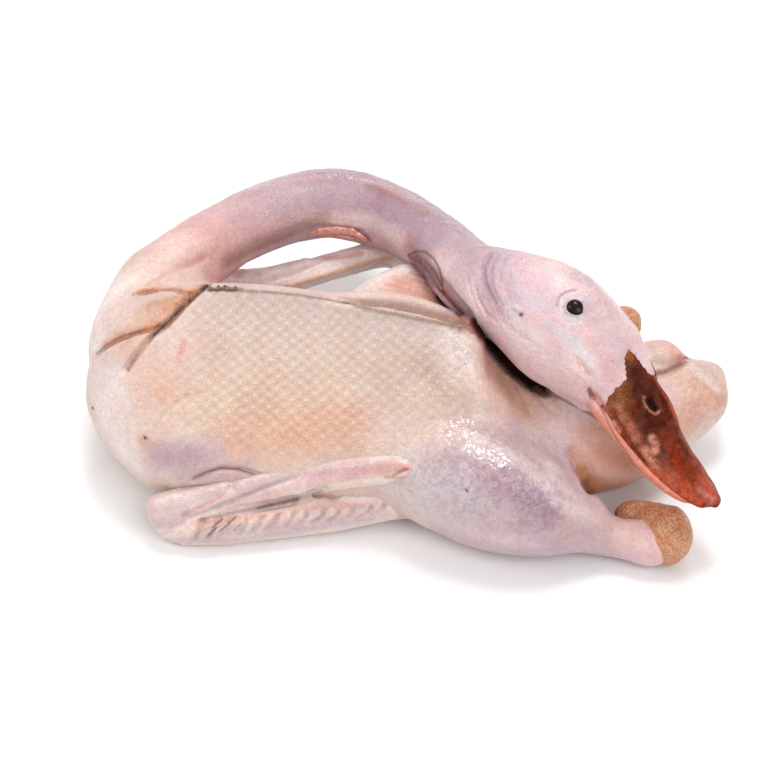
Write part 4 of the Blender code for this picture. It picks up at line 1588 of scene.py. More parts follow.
@dataclass(frozen=True)
class SkinFinish:
    """Moist plucked skin over fat: soft light, goose bumps and wet glints.

    Attributes:
        roughness: of the dry skin.
        wet_roughness: of the wettest skin.
        scatter: share of the light that spreads under the surface.
    """

    roughness: float = 0.46
    wet_roughness: float = 0.2
    scatter: float = 0.22

    def build(self) -> bpy.types.Material:
        """Returns the material."""
        graph = Graph("plucked_skin")
        wet, follicle, goose = graph.split(graph.attribute("finish"))
        colour = self.colour(graph, follicle)
        grain = graph.noise(0.55, 2.0)
        # Gloss fades where the colour is dark, in painted shade too.
        shine = graph.spread(graph.split(graph.attribute("stain_and_painted_light"))[1], 0.02, 0.2)
        glaze = graph.sum("MULTIPLY", wet, graph.spread(grain, 0.35, 0.65, 0.3, 1.0))
        relief = self.relief(graph, follicle, goose, wet, grain)
        film = graph.bump(graph.noise(1.7, 1.5), 0.4)
        rough = graph.spread(graph.noise(3.0, 4.0), 0.3, 0.7, self.roughness - 0.07, self.roughness + 0.1)
        rough = graph.sum("MULTIPLY_ADD", wet, self.wet_roughness - self.roughness, rough)
        graph.shade(
            Base_Color=colour,
            Roughness=rough,
            Subsurface_Weight=self.scatter,
            Subsurface_Radius=(1.0, 0.42, 0.25),
            Subsurface_Scale=0.0028,
            Specular_IOR_Level=graph.sum("MULTIPLY", shine, 0.45),
            Coat_Weight=graph.sum("MULTIPLY", shine, glaze),
            Coat_Roughness=0.06,
            Coat_IOR=1.9,
            Coat_Normal=film,
            Normal=relief,
        )
        return graph.material

    def colour(self, graph: Graph, follicle: Socket) -> Socket:
        """Returns the vertex colours, stains and painted shade and highlights, with blotches, speckles,
        pale follicle tops that are partly a painted highlight, and painted shade in the pits between them.

        Args:
            graph: the material's nodes.
            follicle: where the lattice shows.
        """
        stain_and_painted_light = graph.attribute("stain_and_painted_light")
        _, _, goose = graph.split(graph.attribute("finish"))
        blotch = graph.spread(graph.noise(14.0, 4.0), 0.35, 0.68)
        colour = graph.mix(blotch, stain_and_painted_light, (0.93, 0.84, 0.84, 1.0), "MULTIPLY")
        yellow = graph.spread(graph.noise(9.0, 5.0), 0.5, 0.75, 0.0, 0.5)
        colour = graph.mix(yellow, colour, (1.04, 1.0, 0.88, 1.0), "MULTIPLY")
        cool = graph.spread(graph.noise(4.2, 6.0, Roughness=0.6), 0.5, 0.66, 0.0, 0.5)
        colour = graph.mix(cool, colour, (0.9, 0.94, 1.02, 1.0), "MULTIPLY")
        mottle = graph.spread(graph.noise(2.4, 5.0, Roughness=0.65), 0.44, 0.6)
        mottle = graph.sum("MULTIPLY", mottle, goose)
        colour = graph.mix(mottle, colour, (0.76, 0.7, 0.79, 1.0), "MULTIPLY")
        speck = graph.spread(graph.noise(0.8, 4.0), 0.32, 0.68)
        colour = graph.mix(speck, colour, (0.86, 0.81, 0.82, 1.0), "MULTIPLY")
        # Pale follicle tops: partly the skin's own pale follicles, partly a painted highlight on them.
        dot = graph.sum("MULTIPLY", self.lattice(graph, 0.45, 1.0), follicle)
        colour = graph.mix(graph.sum("MULTIPLY", dot, 0.36), colour, opaque(Tone.IVORY))
        # Painted shade in the pits between the follicles.
        pit = graph.sum("MULTIPLY", self.lattice(graph, -0.3, -0.95), follicle)
        pit = graph.sum("MULTIPLY", pit, 0.75)
        return graph.mix(pit, colour, (0.84, 0.78, 0.74, 1.0), "MULTIPLY")

    def lattice(self, graph: Graph, low: float, high: float) -> Socket:
        """Returns the quincunx of follicles.

        Args:
            graph: the material's nodes.
            low: height of its waves that becomes 0.
            high: height of its waves that becomes 1.
        """
        first, second, _ = graph.split(graph.attribute("weave"))
        waves = [graph.sum("COSINE", graph.sum("MULTIPLY", way, 2 * np.pi)) for way in (first, second)]
        mean = graph.sum("MULTIPLY", graph.sum("ADD", *waves), 0.5)
        return graph.spread(mean, low, high)

    def relief(self, graph: Graph, follicle: Socket, goose: Socket,
               wet: Socket, grain: Socket) -> Socket:
        """Returns the bumped normals of the skin.

        Args:
            graph: the material's nodes.
            follicle: where the lattice shows.
            goose: where goose bumps show.
            wet: where the skin is wet.
            grain: the finest noise.
        """
        lumps = graph.sum("MULTIPLY", self.lattice(graph, 0.0, 1.0), follicle)
        normal = graph.bump(lumps, 0.16)
        goosebumps = graph.sum("MULTIPLY", graph.cells(1.35, "SMOOTH_F1"), goose)
        normal = graph.bump(goosebumps, 0.5, normal)
        normal = graph.bump(graph.noise(1.6, 4.0, Roughness=0.6), 0.42, normal)
        crinkles = graph.sum("MULTIPLY", graph.noise(1.8, 5.0, Roughness=0.65), wet)
        normal = graph.bump(crinkles, 1.0, normal)
        return graph.bump(grain, 0.32, normal)


@dataclass(frozen=True)
class HornFinish:
    """Brown, mottled horn of the bill, which turns orange towards its tip.

    Attributes:
        name: the material's name.
        contrast: how strong its mottles are.
        roughness: where it shines most.
    """

    name: str
    contrast: float
    roughness: float = 0.34

    def build(self) -> bpy.types.Material:
        """Returns the material."""
        graph = Graph(self.name)
        mottle = graph.spread(graph.noise(2.2, 6.0, Roughness=0.75), 0.42, 0.66, 0.0, self.contrast)
        colour = graph.mix(mottle, graph.attribute("stain_and_painted_light"), (0.46, 0.42, 0.34, 1.0), "MULTIPLY")
        grains = graph.spread(graph.noise(0.8, 4.0, Roughness=0.7), 0.45, 0.72, 0.0, 0.8 * self.contrast)
        colour = graph.mix(grains, colour, (0.52, 0.4, 0.34, 1.0), "MULTIPLY")
        light = graph.spread(graph.noise(1.7, 6.0, Roughness=0.65), 0.55, 0.7, 0.0, 0.7 * self.contrast)
        colour = graph.mix(light, colour, (1.9, 2.0, 2.1, 1.0), "MULTIPLY")
        relief = graph.bump(graph.noise(0.9, 5.0, Roughness=0.7), 0.22)
        relief = graph.bump(graph.noise(4.0, 3.0), 0.4, relief)
        graph.shade(
            Base_Color=colour,
            Roughness=graph.spread(graph.noise(2.0, 4.0), 0.3, 0.7, self.roughness, self.roughness + 0.25),
            Subsurface_Weight=0.12,
            Subsurface_Radius=(1.0, 0.35, 0.2),
            Subsurface_Scale=0.002,
            Specular_IOR_Level=graph.spread(graph.noise(3.0, 4.0), 0.45, 0.62, 0.04, 0.2),
            Coat_Weight=0.03,
            Coat_Roughness=0.25,
            Normal=relief,
        )
        return graph.material


@dataclass(frozen=True)
class HideFinish:
    """Dry, scaly brown skin of the hocks."""

    def build(self) -> bpy.types.Material:
        """Returns the material."""
        graph = Graph("hock_hide")
        scales = graph.spread(graph.cells(0.95), 0.3, 0.8, 0.0, 0.6)
        colour = graph.mix(scales, opaque(Tone.HIDE), (0.24, 0.1, 0.045, 1.0))
        patches = graph.spread(graph.noise(4.5, 5.0), 0.4, 0.66)
        colour = graph.mix(patches, colour, (0.82, 0.62, 0.5, 1.0), "MULTIPLY")
        dark = graph.spread(graph.noise(1.2, 4.0), 0.52, 0.75, 0.0, 0.6)
        colour = graph.mix(dark, colour, (0.75, 0.6, 0.5, 1.0), "MULTIPLY")
        relief = graph.bump(graph.sum("SUBTRACT", 1.0, scales), 0.4)
        relief = graph.bump(graph.noise(0.7, 3.0), 0.15, relief)
        graph.shade(
            Base_Color=colour,
            Roughness=0.5,
            Subsurface_Weight=0.15,
            Subsurface_Radius=(1.0, 0.4, 0.2),
            Subsurface_Scale=0.002,
            Coat_Weight=0.35,
            Coat_Roughness=0.25,
            Normal=relief,
        )
        return graph.material


@dataclass(frozen=True)
class EyeFinish:
    """Wet brown iris round a black pupil, both under a clear coat."""

    def build(self) -> bpy.types.Material:
        """Returns the material."""
        graph = Graph("eye_gloss")
        flecks = graph.spread(graph.noise(0.6, 3.0), 0.35, 0.7)
        brown = graph.mix(flecks, (0.006, 0.004, 0.004, 1.0), (0.022, 0.011, 0.008, 1.0))
        graph.shade(
            Base_Color=brown,
            Roughness=0.25,
            Specular_IOR_Level=0.08,
            Coat_Weight=0.2,
            Coat_Roughness=0.05,
        )
        return graph.material


@dataclass(frozen=True)
class FleshFinish:
    """Wet raw flesh, in streaks.

    Attributes:
        name: the material's name.
        tone: the colour between the streaks.
        deep: the streaks' own colour.
    """

    name: str
    tone: Tone
    deep: Tone

    def build(self) -> bpy.types.Material:
        """Returns the material."""
        graph = Graph(self.name)
        streaks = graph.spread(graph.noise(2.2, 5.0, Distortion=0.6), 0.32, 0.7)
        relief = graph.bump(graph.noise(1.1, 4.0), 0.25)
        graph.shade(
            Base_Color=graph.mix(streaks, opaque(self.tone), opaque(self.deep)),
            Roughness=graph.spread(graph.noise(1.5, 3.0), 0.3, 0.7, 0.25, 0.5),
            Subsurface_Weight=0.25,
            Subsurface_Radius=(1.0, 0.3, 0.2),
            Subsurface_Scale=0.002,
            Coat_Weight=0.5,
            Coat_Roughness=0.15,
            Normal=relief,
        )
        return graph.material


@dataclass(frozen=True)
class Lattice:
    """The quincunx of feather follicles on the trunk and along the neck.

    Attributes:
        middle: y from which it runs down both sides of the trunk.
        fall: how much going out and going up count in the way down a side.
        bend: how much its rows bend, for each square millimetre.
        centre: x and z that the rows bend round.
        pitch: millimetres between follicles along and down the trunk.
        neck_start: sample of the neck's rows from which the neck has its own.
        neck_pitch: millimetres between follicles along and round the neck.
        neck_reach: how far from its middle line it covers the neck, in the neck's radii.
        drift: size and height of the noise that moves it one way.
        wander: size, start and height of the noise that moves it the other way.
    """

    middle: float = -9.0
    fall: Point = (0.71, 0.70)
    bend: float = 0.0033
    centre: Point = (-20.0, 40.0)
    pitch: Point = (5.6, 4.18)
    neck_start: int = 30
    neck_pitch: Point = (2.0, 2.2)
    neck_reach: float = 1.7
    drift: Point = (8.0, 0.22)
    wander: Place = (5.0, 40.0, 0.16)

    def weave(self, points: np.ndarray) -> np.ndarray:
        """Returns the lattice's two coordinates, and its drift.

        Args:
            points: the skin's vertices, in metres.
        """
        rows = points / MM - SHIFT
        along, across = self.on_trunk(rows)
        self.on_neck(rows, along, across)
        size, height = self.drift
        drift = np.array([noise.noise(Vector(row)) for row in rows / size]) * height
        size, start, height = self.wander
        wander = np.array([noise.noise(Vector(row)) for row in rows / size + start]) * height
        return np.column_stack((along + across + drift, along - across + wander, drift))

    def on_trunk(self, rows: np.ndarray) -> tuple[np.ndarray, np.ndarray]:
        """Returns how many follicles along and down the trunk each place is.

        Args:
            rows: places in millimetres in the rows' frame.
        """
        x, y, z = rows.T
        down = np.where(y < self.middle, -y, y - 2 * self.middle)
        run = self.fall[0] * down - self.fall[1] * z
        bend = self.bend * (x - self.centre[0]) * (z - self.centre[1])
        return (x + bend) / self.pitch[0], run / self.pitch[1]

    def on_neck(self, rows: np.ndarray, along: np.ndarray, across: np.ndarray) -> None:
        """Replaces the coordinates on the neck.

        Args:
            rows: places in millimetres in the rows' frame.
            along: their first coordinates.
            across: their second coordinates.
        """
        line = smooth_rows(NECK_ROWS, 12)[self.neck_start:, :3]
        tangents = np.gradient(line, axis=0)
        gaps = np.linalg.norm(tangents, axis=1)
        tangents /= gaps[:, None]
        sides = np.cross(tangents, UP)
        tops = np.cross(sides, tangents)
        reach = NECK_RADIUS * self.neck_reach
        for chunk in near_chunks(rows, line, reach):
            offsets = rows[chunk, None] - line[None]
            away = np.linalg.norm(offsets, axis=2)
            best = away.argmin(axis=1)
            spot = np.arange(len(chunk))
            off = offsets[spot, best]
            turn = np.arctan2((off * tops[best]).sum(axis=1), (off * sides[best]).sum(axis=1))
            run = np.cumsum(gaps)[best] + (off * tangents[best]).sum(axis=1)
            kept = away[spot, best] < reach
            along[chunk[kept]] = run[kept] / self.neck_pitch[0]
            across[chunk[kept]] = turn[kept] * NECK_RADIUS / self.neck_pitch[1]


@dataclass
class Skin:
    """Lofts fused into one closed skin, then melted, refined, sculpted and dressed.

    Attributes:
        name: the piece's name.
        voxel: millimetres between the fused skin's vertices.
        melt_steps: how many times the fused skin is smoothed.
        triangles: the most that the piece may have.
        limbs: the lofts.
        strokes: rounds of strokes, from broad to fine.
        tints: stains, painted shade and painted highlights, from broad to fine.
        patches: areas of each finish.
        coats: lofts whose tones colour the skin near them.
        soft: areas where limbs melt together more.
        soft_steps: how many times those are smoothed.
        rough: lump sizes and heights of the noise on the surface, in millimetres.
        base: colour of the skin that no coat or tint reaches.
        finest: millimetres of reach up to which a mark's faces aren't thinned.
        hairline: millimetres of reach up to which a mark's faces are split first.
        coat_reach: distance from a coat's middle line where it ends, in its radii.
        coat_fade: the last stretch over which it fades.
        coat_box: how far round the line's box the coat is looked for.
        coat_start: samples from the line's start over which the coat appears.
        lit: what is added to how far a face turns down or away before it counts as hidden.
        seen: the least share of thinning, where a face is in full view.
    """

    name: str
    voxel: float
    melt_steps: int
    triangles: int
    limbs: tuple[Loft, ...]
    strokes: tuple[tuple[Stroke, ...], ...]
    tints: tuple[Tint, ...]
    patches: tuple[Patch, ...] = ()
    coats: tuple[Loft, ...] = ()
    soft: tuple[Melt, ...] = ()
    soft_steps: int = 60
    rough: tuple[Point, ...] = ((11.0, 0.35), (3.6, 0.12))
    base: Tone = Tone.CREAM
    finest: float = 2.2
    hairline: float = 1.35
    coat_reach: float = 1.6
    coat_fade: float = 0.45
    coat_box: float = 1.7
    coat_start: float = 6.0
    lit: float = 0.55
    seen: float = 0.08

    def build(self, finish: bpy.types.Material) -> bpy.types.Object:
        """Returns the dressed skin.

        Args:
            finish: its material.
        """
        skin = self.refined(self.fused())
        self.split_near(skin.data, self.thin_marks(Clay(skin), self.hairline, 0.3))
        clay = Clay(skin)
        for strokes in self.strokes:
            clay.press(strokes)
        fine = self.thin_marks(clay, self.finest, 0.6)
        self.melt(skin.data, fine * 0.5, 4)
        clay.refresh()
        for size, height in self.rough:
            clay.roughen(size, height)
        self.rest(skin.data)
        skin = self.thinned(skin, fine)
        self.dress(skin, finish)
        return skin

    def thin_marks(self, clay: Clay, reach: float, margin: float) -> np.ndarray:
        """Returns which vertices lie near thin marks.

        Args:
            clay: the skin.
            reach: the most millimetres of reach of the marks that count.
            margin: millimetres beyond the marks' own reach.
        """
        near = np.zeros(len(clay.points), dtype=bool)
        marks = (*chain(*self.strokes), *self.tints)
        for _, reached in clay.touches((mark for mark in marks if mark.reach <= reach), margin):
            near[reached.index] = True
        return near

    @staticmethod
    def split_near(mesh: bpy.types.Mesh, near: np.ndarray) -> None:
        """Splits the edges between marked vertices, so that hairlines stay crisp.

        Args:
            mesh: the mesh.
            near: which vertices are marked.
        """
        shape = bmesh.new()
        shape.from_mesh(mesh)
        edges = [edge for edge in shape.edges if near[edge.verts[0].index] and near[edge.verts[1].index]]
        bmesh.ops.subdivide_edges(shape, edges=edges, cuts=1, use_grid_fill=True)
        shape.to_mesh(mesh)
        shape.free()

    def fused(self) -> bpy.types.Object:
        """Returns all the limbs as one closed skin."""
        heap = bmesh.new()
        for limb in self.limbs:
            limb.into(heap)
        bmesh.ops.recalc_face_normals(heap, faces=heap.faces[:])
        return fused(heap, self.voxel, "fused")

    def refined(self, skin: bpy.types.Object) -> bpy.types.Object:
        """Returns the skin melted where limbs meet, then with four times the faces.

        Args:
            skin: the fused skin.
        """
        clay = Clay(skin)
        share = np.zeros(len(clay.points))
        for melt, reached in clay.touches(self.soft):
            soft = (1 - reached.away**2) ** 2 * melt.share
            share[reached.index] = np.maximum(share[reached.index], soft)
        self.melt(skin.data, np.full(len(share), 0.5), self.melt_steps)
        if share.any():
            self.melt(skin.data, share, self.soft_steps)
        return finer(skin, "finer")

    @staticmethod
    def melt(mesh: bpy.types.Mesh, share: np.ndarray, steps: int) -> None:
        """Moves each vertex towards the middle of its neighbours.

        Args:
            mesh: the mesh to smooth.
            share: how far each vertex moves at each step.
            steps: how many times.
        """
        points = points_of(mesh)
        flat = np.empty(len(mesh.edges) * 2, dtype=np.int32)
        mesh.edges.foreach_get("vertices", flat)
        ends = flat.reshape(-1, 2)
        start = np.concatenate((ends[:, 0], ends[:, 1]))
        other = np.concatenate((ends[:, 1], ends[:, 0]))
        count = np.bincount(start, minlength=len(points))
        for _ in range(steps):
            sums = [np.bincount(start, points[other, axis], len(points)) for axis in range(3)]
            points += share[:, None] * (np.column_stack(sums) / count[:, None] - points)
        set_points(mesh, points)

    @staticmethod
    def rest(mesh: bpy.types.Mesh) -> None:
        """Presses the back flat on the surface that the bird lies on."""
        points = points_of(mesh)
        points[:, 2] = np.maximum(points[:, 2], 0.0)
        set_points(mesh, points)

    def thinned(self, skin: bpy.types.Object, fine: np.ndarray) -> bpy.types.Object:
        """Returns the skin with fewer triangles, most of all where it faces down.

        Args:
            skin: the skin to thin.
            fine: the vertices that stay as they are.
        """
        mesh = skin.data
        mesh.calc_loop_triangles()
        normals = normals_of(mesh)
        hidden = np.clip(self.lit - normals[:, 2] + 0.5 * normals[:, 1], self.seen, 1.0)
        group = skin.vertex_groups.new(name="hidden")
        for level in np.linspace(0.1, 1.0, 10):
            members = np.flatnonzero((np.abs(hidden - level) < 0.051) & ~fine)
            group.add(members.tolist(), float(level), "REPLACE")
        thin = skin.modifiers.new("thin", "DECIMATE")
        thin.ratio = min(1.0, self.triangles / len(mesh.loop_triangles))
        thin.vertex_group = group.name
        thin.use_collapse_triangulate = True
        return applied(skin, self.name)

    def dress(self, skin: bpy.types.Object, finish: bpy.types.Material) -> None:
        """Stains the skin and paints shade and highlights on it, marks its finishes and gives it its
        material.

        Args:
            skin: the skin.
            finish: its material.
        """
        clay = Clay(skin)
        colours = np.tile(linear(self.base.value), (len(clay.points), 1))
        for coat in self.coats:
            self.fill(clay.points, colours, coat)
        clay.stain_and_painted_light(colours, self.tints)
        write_attribute(skin.data, "stain_and_painted_light", colours)
        values = np.tile(PLAIN_FINISH, (len(colours), 1))
        clay.finish(values, self.patches)
        write_attribute(skin.data, "finish", values)
        write_attribute(skin.data, "weave", Lattice().weave(clay.points))
        cover(skin, finish)

    def fill(self, points: np.ndarray, colours: np.ndarray, limb: Loft) -> None:
        """Blends a limb's tones into the colours near its middle line.

        Args:
            points: the skin's vertices, in metres.
            colours: their linear colours.
            limb: the limb.
        """
        line = smooth_rows(limb.rows, 4)
        middles = (line[:, :3] + SHIFT) * MM
        radii = max(limb.size) * line[:, 3:5].max(axis=1) * MM
        ramp = np.array([linear(tone.value) for tone in limb.tones])
        stops = np.linspace(0.0, 1.0, len(limb.tones))
        for chunk in near_chunks(points, middles, radii.max() * self.coat_box):
            gaps = np.linalg.norm(points[chunk, None] - middles[None], axis=2) / radii
            best = gaps.argmin(axis=1)
            away = gaps[np.arange(len(chunk)), best]
            share = np.clip((self.coat_reach - away) / self.coat_fade, 0.0, 1.0)
            share *= np.clip(best / self.coat_start, 0.0, 1.0)
            along = best / (len(middles) - 1)
            tint = np.column_stack([np.interp(along, stops, channel) for channel in ramp.T])
            colours[chunk] += share[:, None] * (tint - colours[chunk])


@dataclass
class Mandible(Loft):
    """Half of the bill: arched on the side of its top, and nearly flat on the other.

    Attributes:
        sides: points round each section.
        steps: sections from each row to the next.
        flat: how far the flat side bulges, as a share of the arch.
        arch: how square the arch is, where 2 is an oval.
    """

    sides: int = 64
    steps: int = 7
    flat: float = 0.06
    arch: float = 1.75

    def oval(self, middle: np.ndarray, side: np.ndarray, up: np.ndarray, across: float,
             high: float) -> np.ndarray:
        """Returns the points of one arched section.

        Args:
            middle: its middle, in millimetres in the rows' frame.
            side: direction of its first half size.
            up: direction in which it arches.
            across: the first half size, in millimetres.
            high: how high it arches.
        """
        turn = np.linspace(0.0, 2 * np.pi, self.sides, endpoint=False)[:, None]
        cosine, sine = np.cos(turn), np.sin(turn)
        bend = 2.0 / np.where(sine > 0.0, self.arch, 2.0)
        reach = np.sign(cosine) * np.abs(cosine) ** bend
        lift = np.sign(sine) * np.abs(sine) ** bend * np.where(sine > 0.0, 1.0, self.flat)
        return middle + reach * side * across + lift * up * high

    def build(self, name: str) -> bpy.types.Object:
        """Returns the mandible as an object with fine faces."""
        shape = bmesh.new()
        self.into(shape)
        bmesh.ops.recalc_face_normals(shape, faces=shape.faces[:])
        return finer(as_object(name, shape), name)


@dataclass
class Bill:
    """The bill: an upper and a lower mandible, with the feather line on the upper one.

    Attributes:
        top: direction in which the upper mandible arches.
        root: place in the rows' frame from which the feather line is measured.
        tip: the other end of the axis that it is measured along.
        feather_line: degrees from the culmen to the near side, and millimetres forward of the root
            at which the horn begins there.
        free: millimetres forward of the root between which the horn leaves the head.
        proud: millimetres that the horn stands above the skin, and lies under it.
        covered: millimetres forward of the root up to which skin may lie under it.
        ragged: millimetres across the feather line's waves, and their height.
        edge: millimetres over which the horn rises at the feather line.
        farthest: millimetres from the skin past which the horn stays as it is.
    """

    top: Place = (0.621, -0.024, 0.783)
    root: Place = (79.0, -35.5, 51.8)
    tip: Place = (118.0, -70.5, 19.8)
    feather_line: Path = (
        (-180, 3.0), (-60, 1.0), (-35, -4.0), (-22, 0.0), (-8, 4.5), (0, 4.0), (4, 3.0), (7, -4.8),
        (10, -8.5), (19, -6.5), (25, -3.3), (30, -0.9), (45, -0.6), (78, 1.2), (90, 2.0), (180, 3.0))
    free: Point = (3.0, 11.0)
    proud: Point = (0.35, -1.0)
    covered: float = 22.0
    ragged: Point = (1.7, 1.1)
    edge: float = 0.9
    farthest: float = 9.0

    def build(self, skin: Clay) -> list[bpy.types.Object]:
        """Returns the two dressed mandibles.

        Args:
            skin: the skin that the horn grows from.
        """
        upper = Mandible(UPPER_BILL_ROWS, (1.0, 1.0), self.top).build("upper_bill")
        bottom = tuple(-np.array(self.top))
        lower = Mandible(LOWER_BILL_ROWS, (1.0, 1.0), bottom, arch=2.2).build("lower_bill")
        self.wrap(upper, skin)
        for mandible, strokes, ground, tints, contrast in (
            (upper, BILL_STROKES, Tone.RUST, BILL_TINTS, 1.0),
            (lower, (), Tone.CORAL, LOWER_BILL_TINTS, 0.3),
        ):
            clay = Clay(mandible)
            if strokes:
                clay.press(strokes)
            colours = np.tile(linear(ground.value), (len(clay.points), 1))
            clay.stain_and_painted_light(colours, tints)
            write_attribute(mandible.data, "stain_and_painted_light", colours)
            cover(mandible, HornFinish(f"{mandible.name}_horn", contrast).build())
        return [upper, lower]

    def wrap(self, upper: bpy.types.Object, skin: Clay) -> None:
        """Lays the upper mandible's base on the head, above or under its skin.

        Args:
            upper: the upper mandible.
            skin: the head's skin.
        """
        points = points_of(upper.data)
        rows = points / MM - SHIFT
        axis = np.array(self.tip) - np.array(self.root)
        axis /= np.linalg.norm(axis)
        forward = (rows - np.array(self.root)) @ axis
        line = smooth_rows(UPPER_BILL_ROWS, 8)[:, :3]
        stops = (line - np.array(self.root)) @ axis
        middle = np.column_stack([np.interp(forward, stops, column) for column in line.T])
        off = rows - middle
        rise = off @ np.array(self.top)
        side = np.cross(axis, np.array(self.top))
        turn = np.degrees(np.arctan2(off @ (side / np.linalg.norm(side)), rise))
        angles, limits = np.array(self.feather_line).T
        limit = np.interp(turn, angles, limits)
        limit += [self.ragged[1] * noise.noise(Vector(row) / self.ragged[0]) for row in rows]
        above = np.clip((forward - limit) / self.edge + 0.5, 0.0, 1.0)
        lift = self.proud[1] + above * (self.proud[0] - self.proud[1])
        share = np.clip((self.free[1] - forward) / (self.free[1] - self.free[0]), 0.0, 1.0)
        share = share**2 * (3 - 2 * share)
        facing = normals_of(upper.data)
        for index in np.flatnonzero((forward < self.covered) & (rise > -2.0)):
            hit, normal, _, gap = skin.tree.find_nearest(Vector(points[index]))
            if gap > self.farthest * MM or (rise[index] < 0.5 and normal @ Vector(facing[index]) < 0.3):
                continue
            goal = np.array(hit + normal * float(lift[index]) * MM)
            points[index] += share[index] * (goal - points[index])
            if forward[index] > limit[index] and (points[index] - hit) @ normal < self.proud[0] * MM:
                points[index] = goal
        set_points(upper.data, points)


@dataclass
class Eyes:
    """The near eye, set into the head at its pixel, and the far one opposite it.

    Attributes:
        pixel: the near eye's middle in the photo.
        radius: millimetres.
        shares: of the radius along the head and across it.
        proud: millimetres that the eye stands above the skin.
    """

    pixel: Point = (574.5, 308.0)
    radius: float = 5.0
    shares: Point = (1.04, 0.92)
    proud: float = 1.85

    def build(self, skin: Clay, head: Loft) -> list[bpy.types.Object]:
        """Returns the near and the far eye.

        Args:
            skin: the skin that the near eye sits in.
            head: the loft whose middle plane mirrors the eye.
        """
        places, normals = skin.trace((self.pixel,), MM)
        near = places[0] - normals[0] * (self.radius - self.proud) * MM
        line = (smooth_rows(head.rows, 8)[:, :3] + SHIFT) * MM
        closest = np.linalg.norm(line - near, axis=1).argmin()
        along = line[min(closest + 1, len(line) - 1)] - line[closest - 1]
        across = np.cross(along, np.array(head.top))
        across /= np.linalg.norm(across)
        far = near - 2 * across * float((near - line[closest]) @ across)
        finish = EyeFinish().build()
        made = []
        for name, place in (("near_eye", near), ("far_eye", far)):
            shape = bmesh.new()
            bmesh.ops.create_icosphere(shape, subdivisions=4, radius=self.radius * MM)
            turned = Vector(along).to_track_quat("X", "Z").to_matrix()
            narrow = Matrix.Diagonal((self.shares[0], self.shares[1], self.shares[1]))
            shaped = turned @ narrow @ turned.inverted()
            bmesh.ops.transform(shape, matrix=shaped.to_4x4(), verts=shape.verts)
            bmesh.ops.translate(shape, vec=Vector(place), verts=shape.verts)
            eye = as_object(name, shape)
            cover(eye, finish)
            made.append(eye)
        return made


@dataclass
class Hock:
    """The knob left where a foot was cut off: a few balls melted together.

    Attributes:
        name: the piece's name.
        balls: x, y, z and the three radii, in millimetres in the rows' frame.
        voxel: millimetres between the knob's vertices.
        melt_steps: how many times it is smoothed.
        rough: lump sizes and heights of the noise on it, in millimetres.
    """

    name: str
    balls: Rows
    voxel: float = 0.9
    melt_steps: int = 8
    rough: Path = ((7.0, 0.7), (2.4, 0.18))

    def build(self, finish: bpy.types.Material) -> bpy.types.Object:
        """Returns the dressed knob.

        Args:
            finish: its material.
        """
        shape = bmesh.new()
        for ball in self.balls:
            made = bmesh.ops.create_icosphere(shape, subdivisions=4, radius=1.0)["verts"]
            bmesh.ops.scale(shape, vec=Vector(ball[3:]) * MM, verts=made)
            bmesh.ops.translate(shape, vec=Vector((np.array(ball[:3]) + SHIFT) * MM), verts=made)
        knob = fused(shape, self.voxel, self.name)
        Skin.melt(knob.data, np.full(len(knob.data.vertices), 0.5), self.melt_steps)
        clay = Clay(knob)
        for size, height in self.rough:
            clay.roughen(size, height)
        Skin.rest(knob.data)
        cover(knob, finish)
        return knob


@dataclass(frozen=True)
class Strand:
    """A thin strip that lies along pixels on the skin.

    Attributes:
        path: the pixels.
        half_width: millimetres.
        half_height: millimetres.
        proud: millimetres that its middle stands above the skin.
    """

    path: Path
    half_width: float
    half_height: float
    proud: float = 0.0

    def into(self, shape: bmesh.types.BMesh, skin: Clay) -> None:
        """Adds the strip to a bmesh, laid on the skin.

        Args:
            shape: the bmesh.
            skin: the skin.
        """
        places, normals = skin.trace(self.path, max(0.8 * self.half_width, 0.4) * MM)
        if len(places) < 3:
            log.warning("a strand misses the skin: %s", self.path[0])
            return
        middles = (places + normals * self.proud * MM) / MM - SHIFT
        taper = np.clip(np.sin(np.linspace(0.12, np.pi - 0.12, len(middles))), 0.0, 1.0) ** 0.5
        rows = np.column_stack((middles, taper, taper))
        top = tuple(normals.mean(axis=0))
        size = (self.half_width, self.half_height)
        Loft(tuple(map(tuple, rows)), size, top, sides=12, steps=2).into(shape)


@dataclass
class Trim:
    """Strands of one finish that make up one piece.

    Attributes:
        name: the piece's name.
        strands: the strands.
        lump_size: millimetres across the noise on them.
        lumps: millimetres that it reaches.
    """

    name: str
    strands: tuple[Strand, ...]
    lump_size: float = 2.0
    lumps: float = 0.3

    def build(self, skin: Clay, finish: bpy.types.Material) -> bpy.types.Object:
        """Returns the dressed piece.

        Args:
            skin: the skin that it lies on.
            finish: its material.
        """
        shape = bmesh.new()
        for strand in self.strands:
            strand.into(shape, skin)
        bmesh.ops.recalc_face_normals(shape, faces=shape.faces[:])
        piece = finer(as_object(self.name, shape), self.name)
        Clay(piece).roughen(self.lump_size, self.lumps)
        cover(piece, finish)
        return piece


HOCKS = (
    Hock("near_hock", (
        (99.8, -66.0, 11.0, 9.2, 10.8, 11.0),
        (97.0, -63.0, 10.5, 9.0, 9.0, 10.0),
        (90.5, -55.8, 9.4, 8.6, 5.6, 6.4),
    )),
    Hock("far_hock", (
        (87.5, 34.0, 18.0, 7.5, 8.0, 8.0),
        (92.5, 35.5, 18.0, 6.8, 7.2, 7.2),
    )),
)

NECK_FLESH = Trim("neck_flesh", (
    Strand(((306, 235), (320, 231), (338, 230), (354, 232), (367, 240)), 2.1, 1.1, 0.1),
    Strand(((318, 235), (340, 235), (360, 240)), 1.2, 0.8, 0.0),
))

NECK_FLAP = Trim("neck_flap", (
    Strand(((412, 255), (422, 259), (430, 268), (436, 278), (442, 289)), 1.7, 0.5, 0.1),
), 1.6, 0.08)

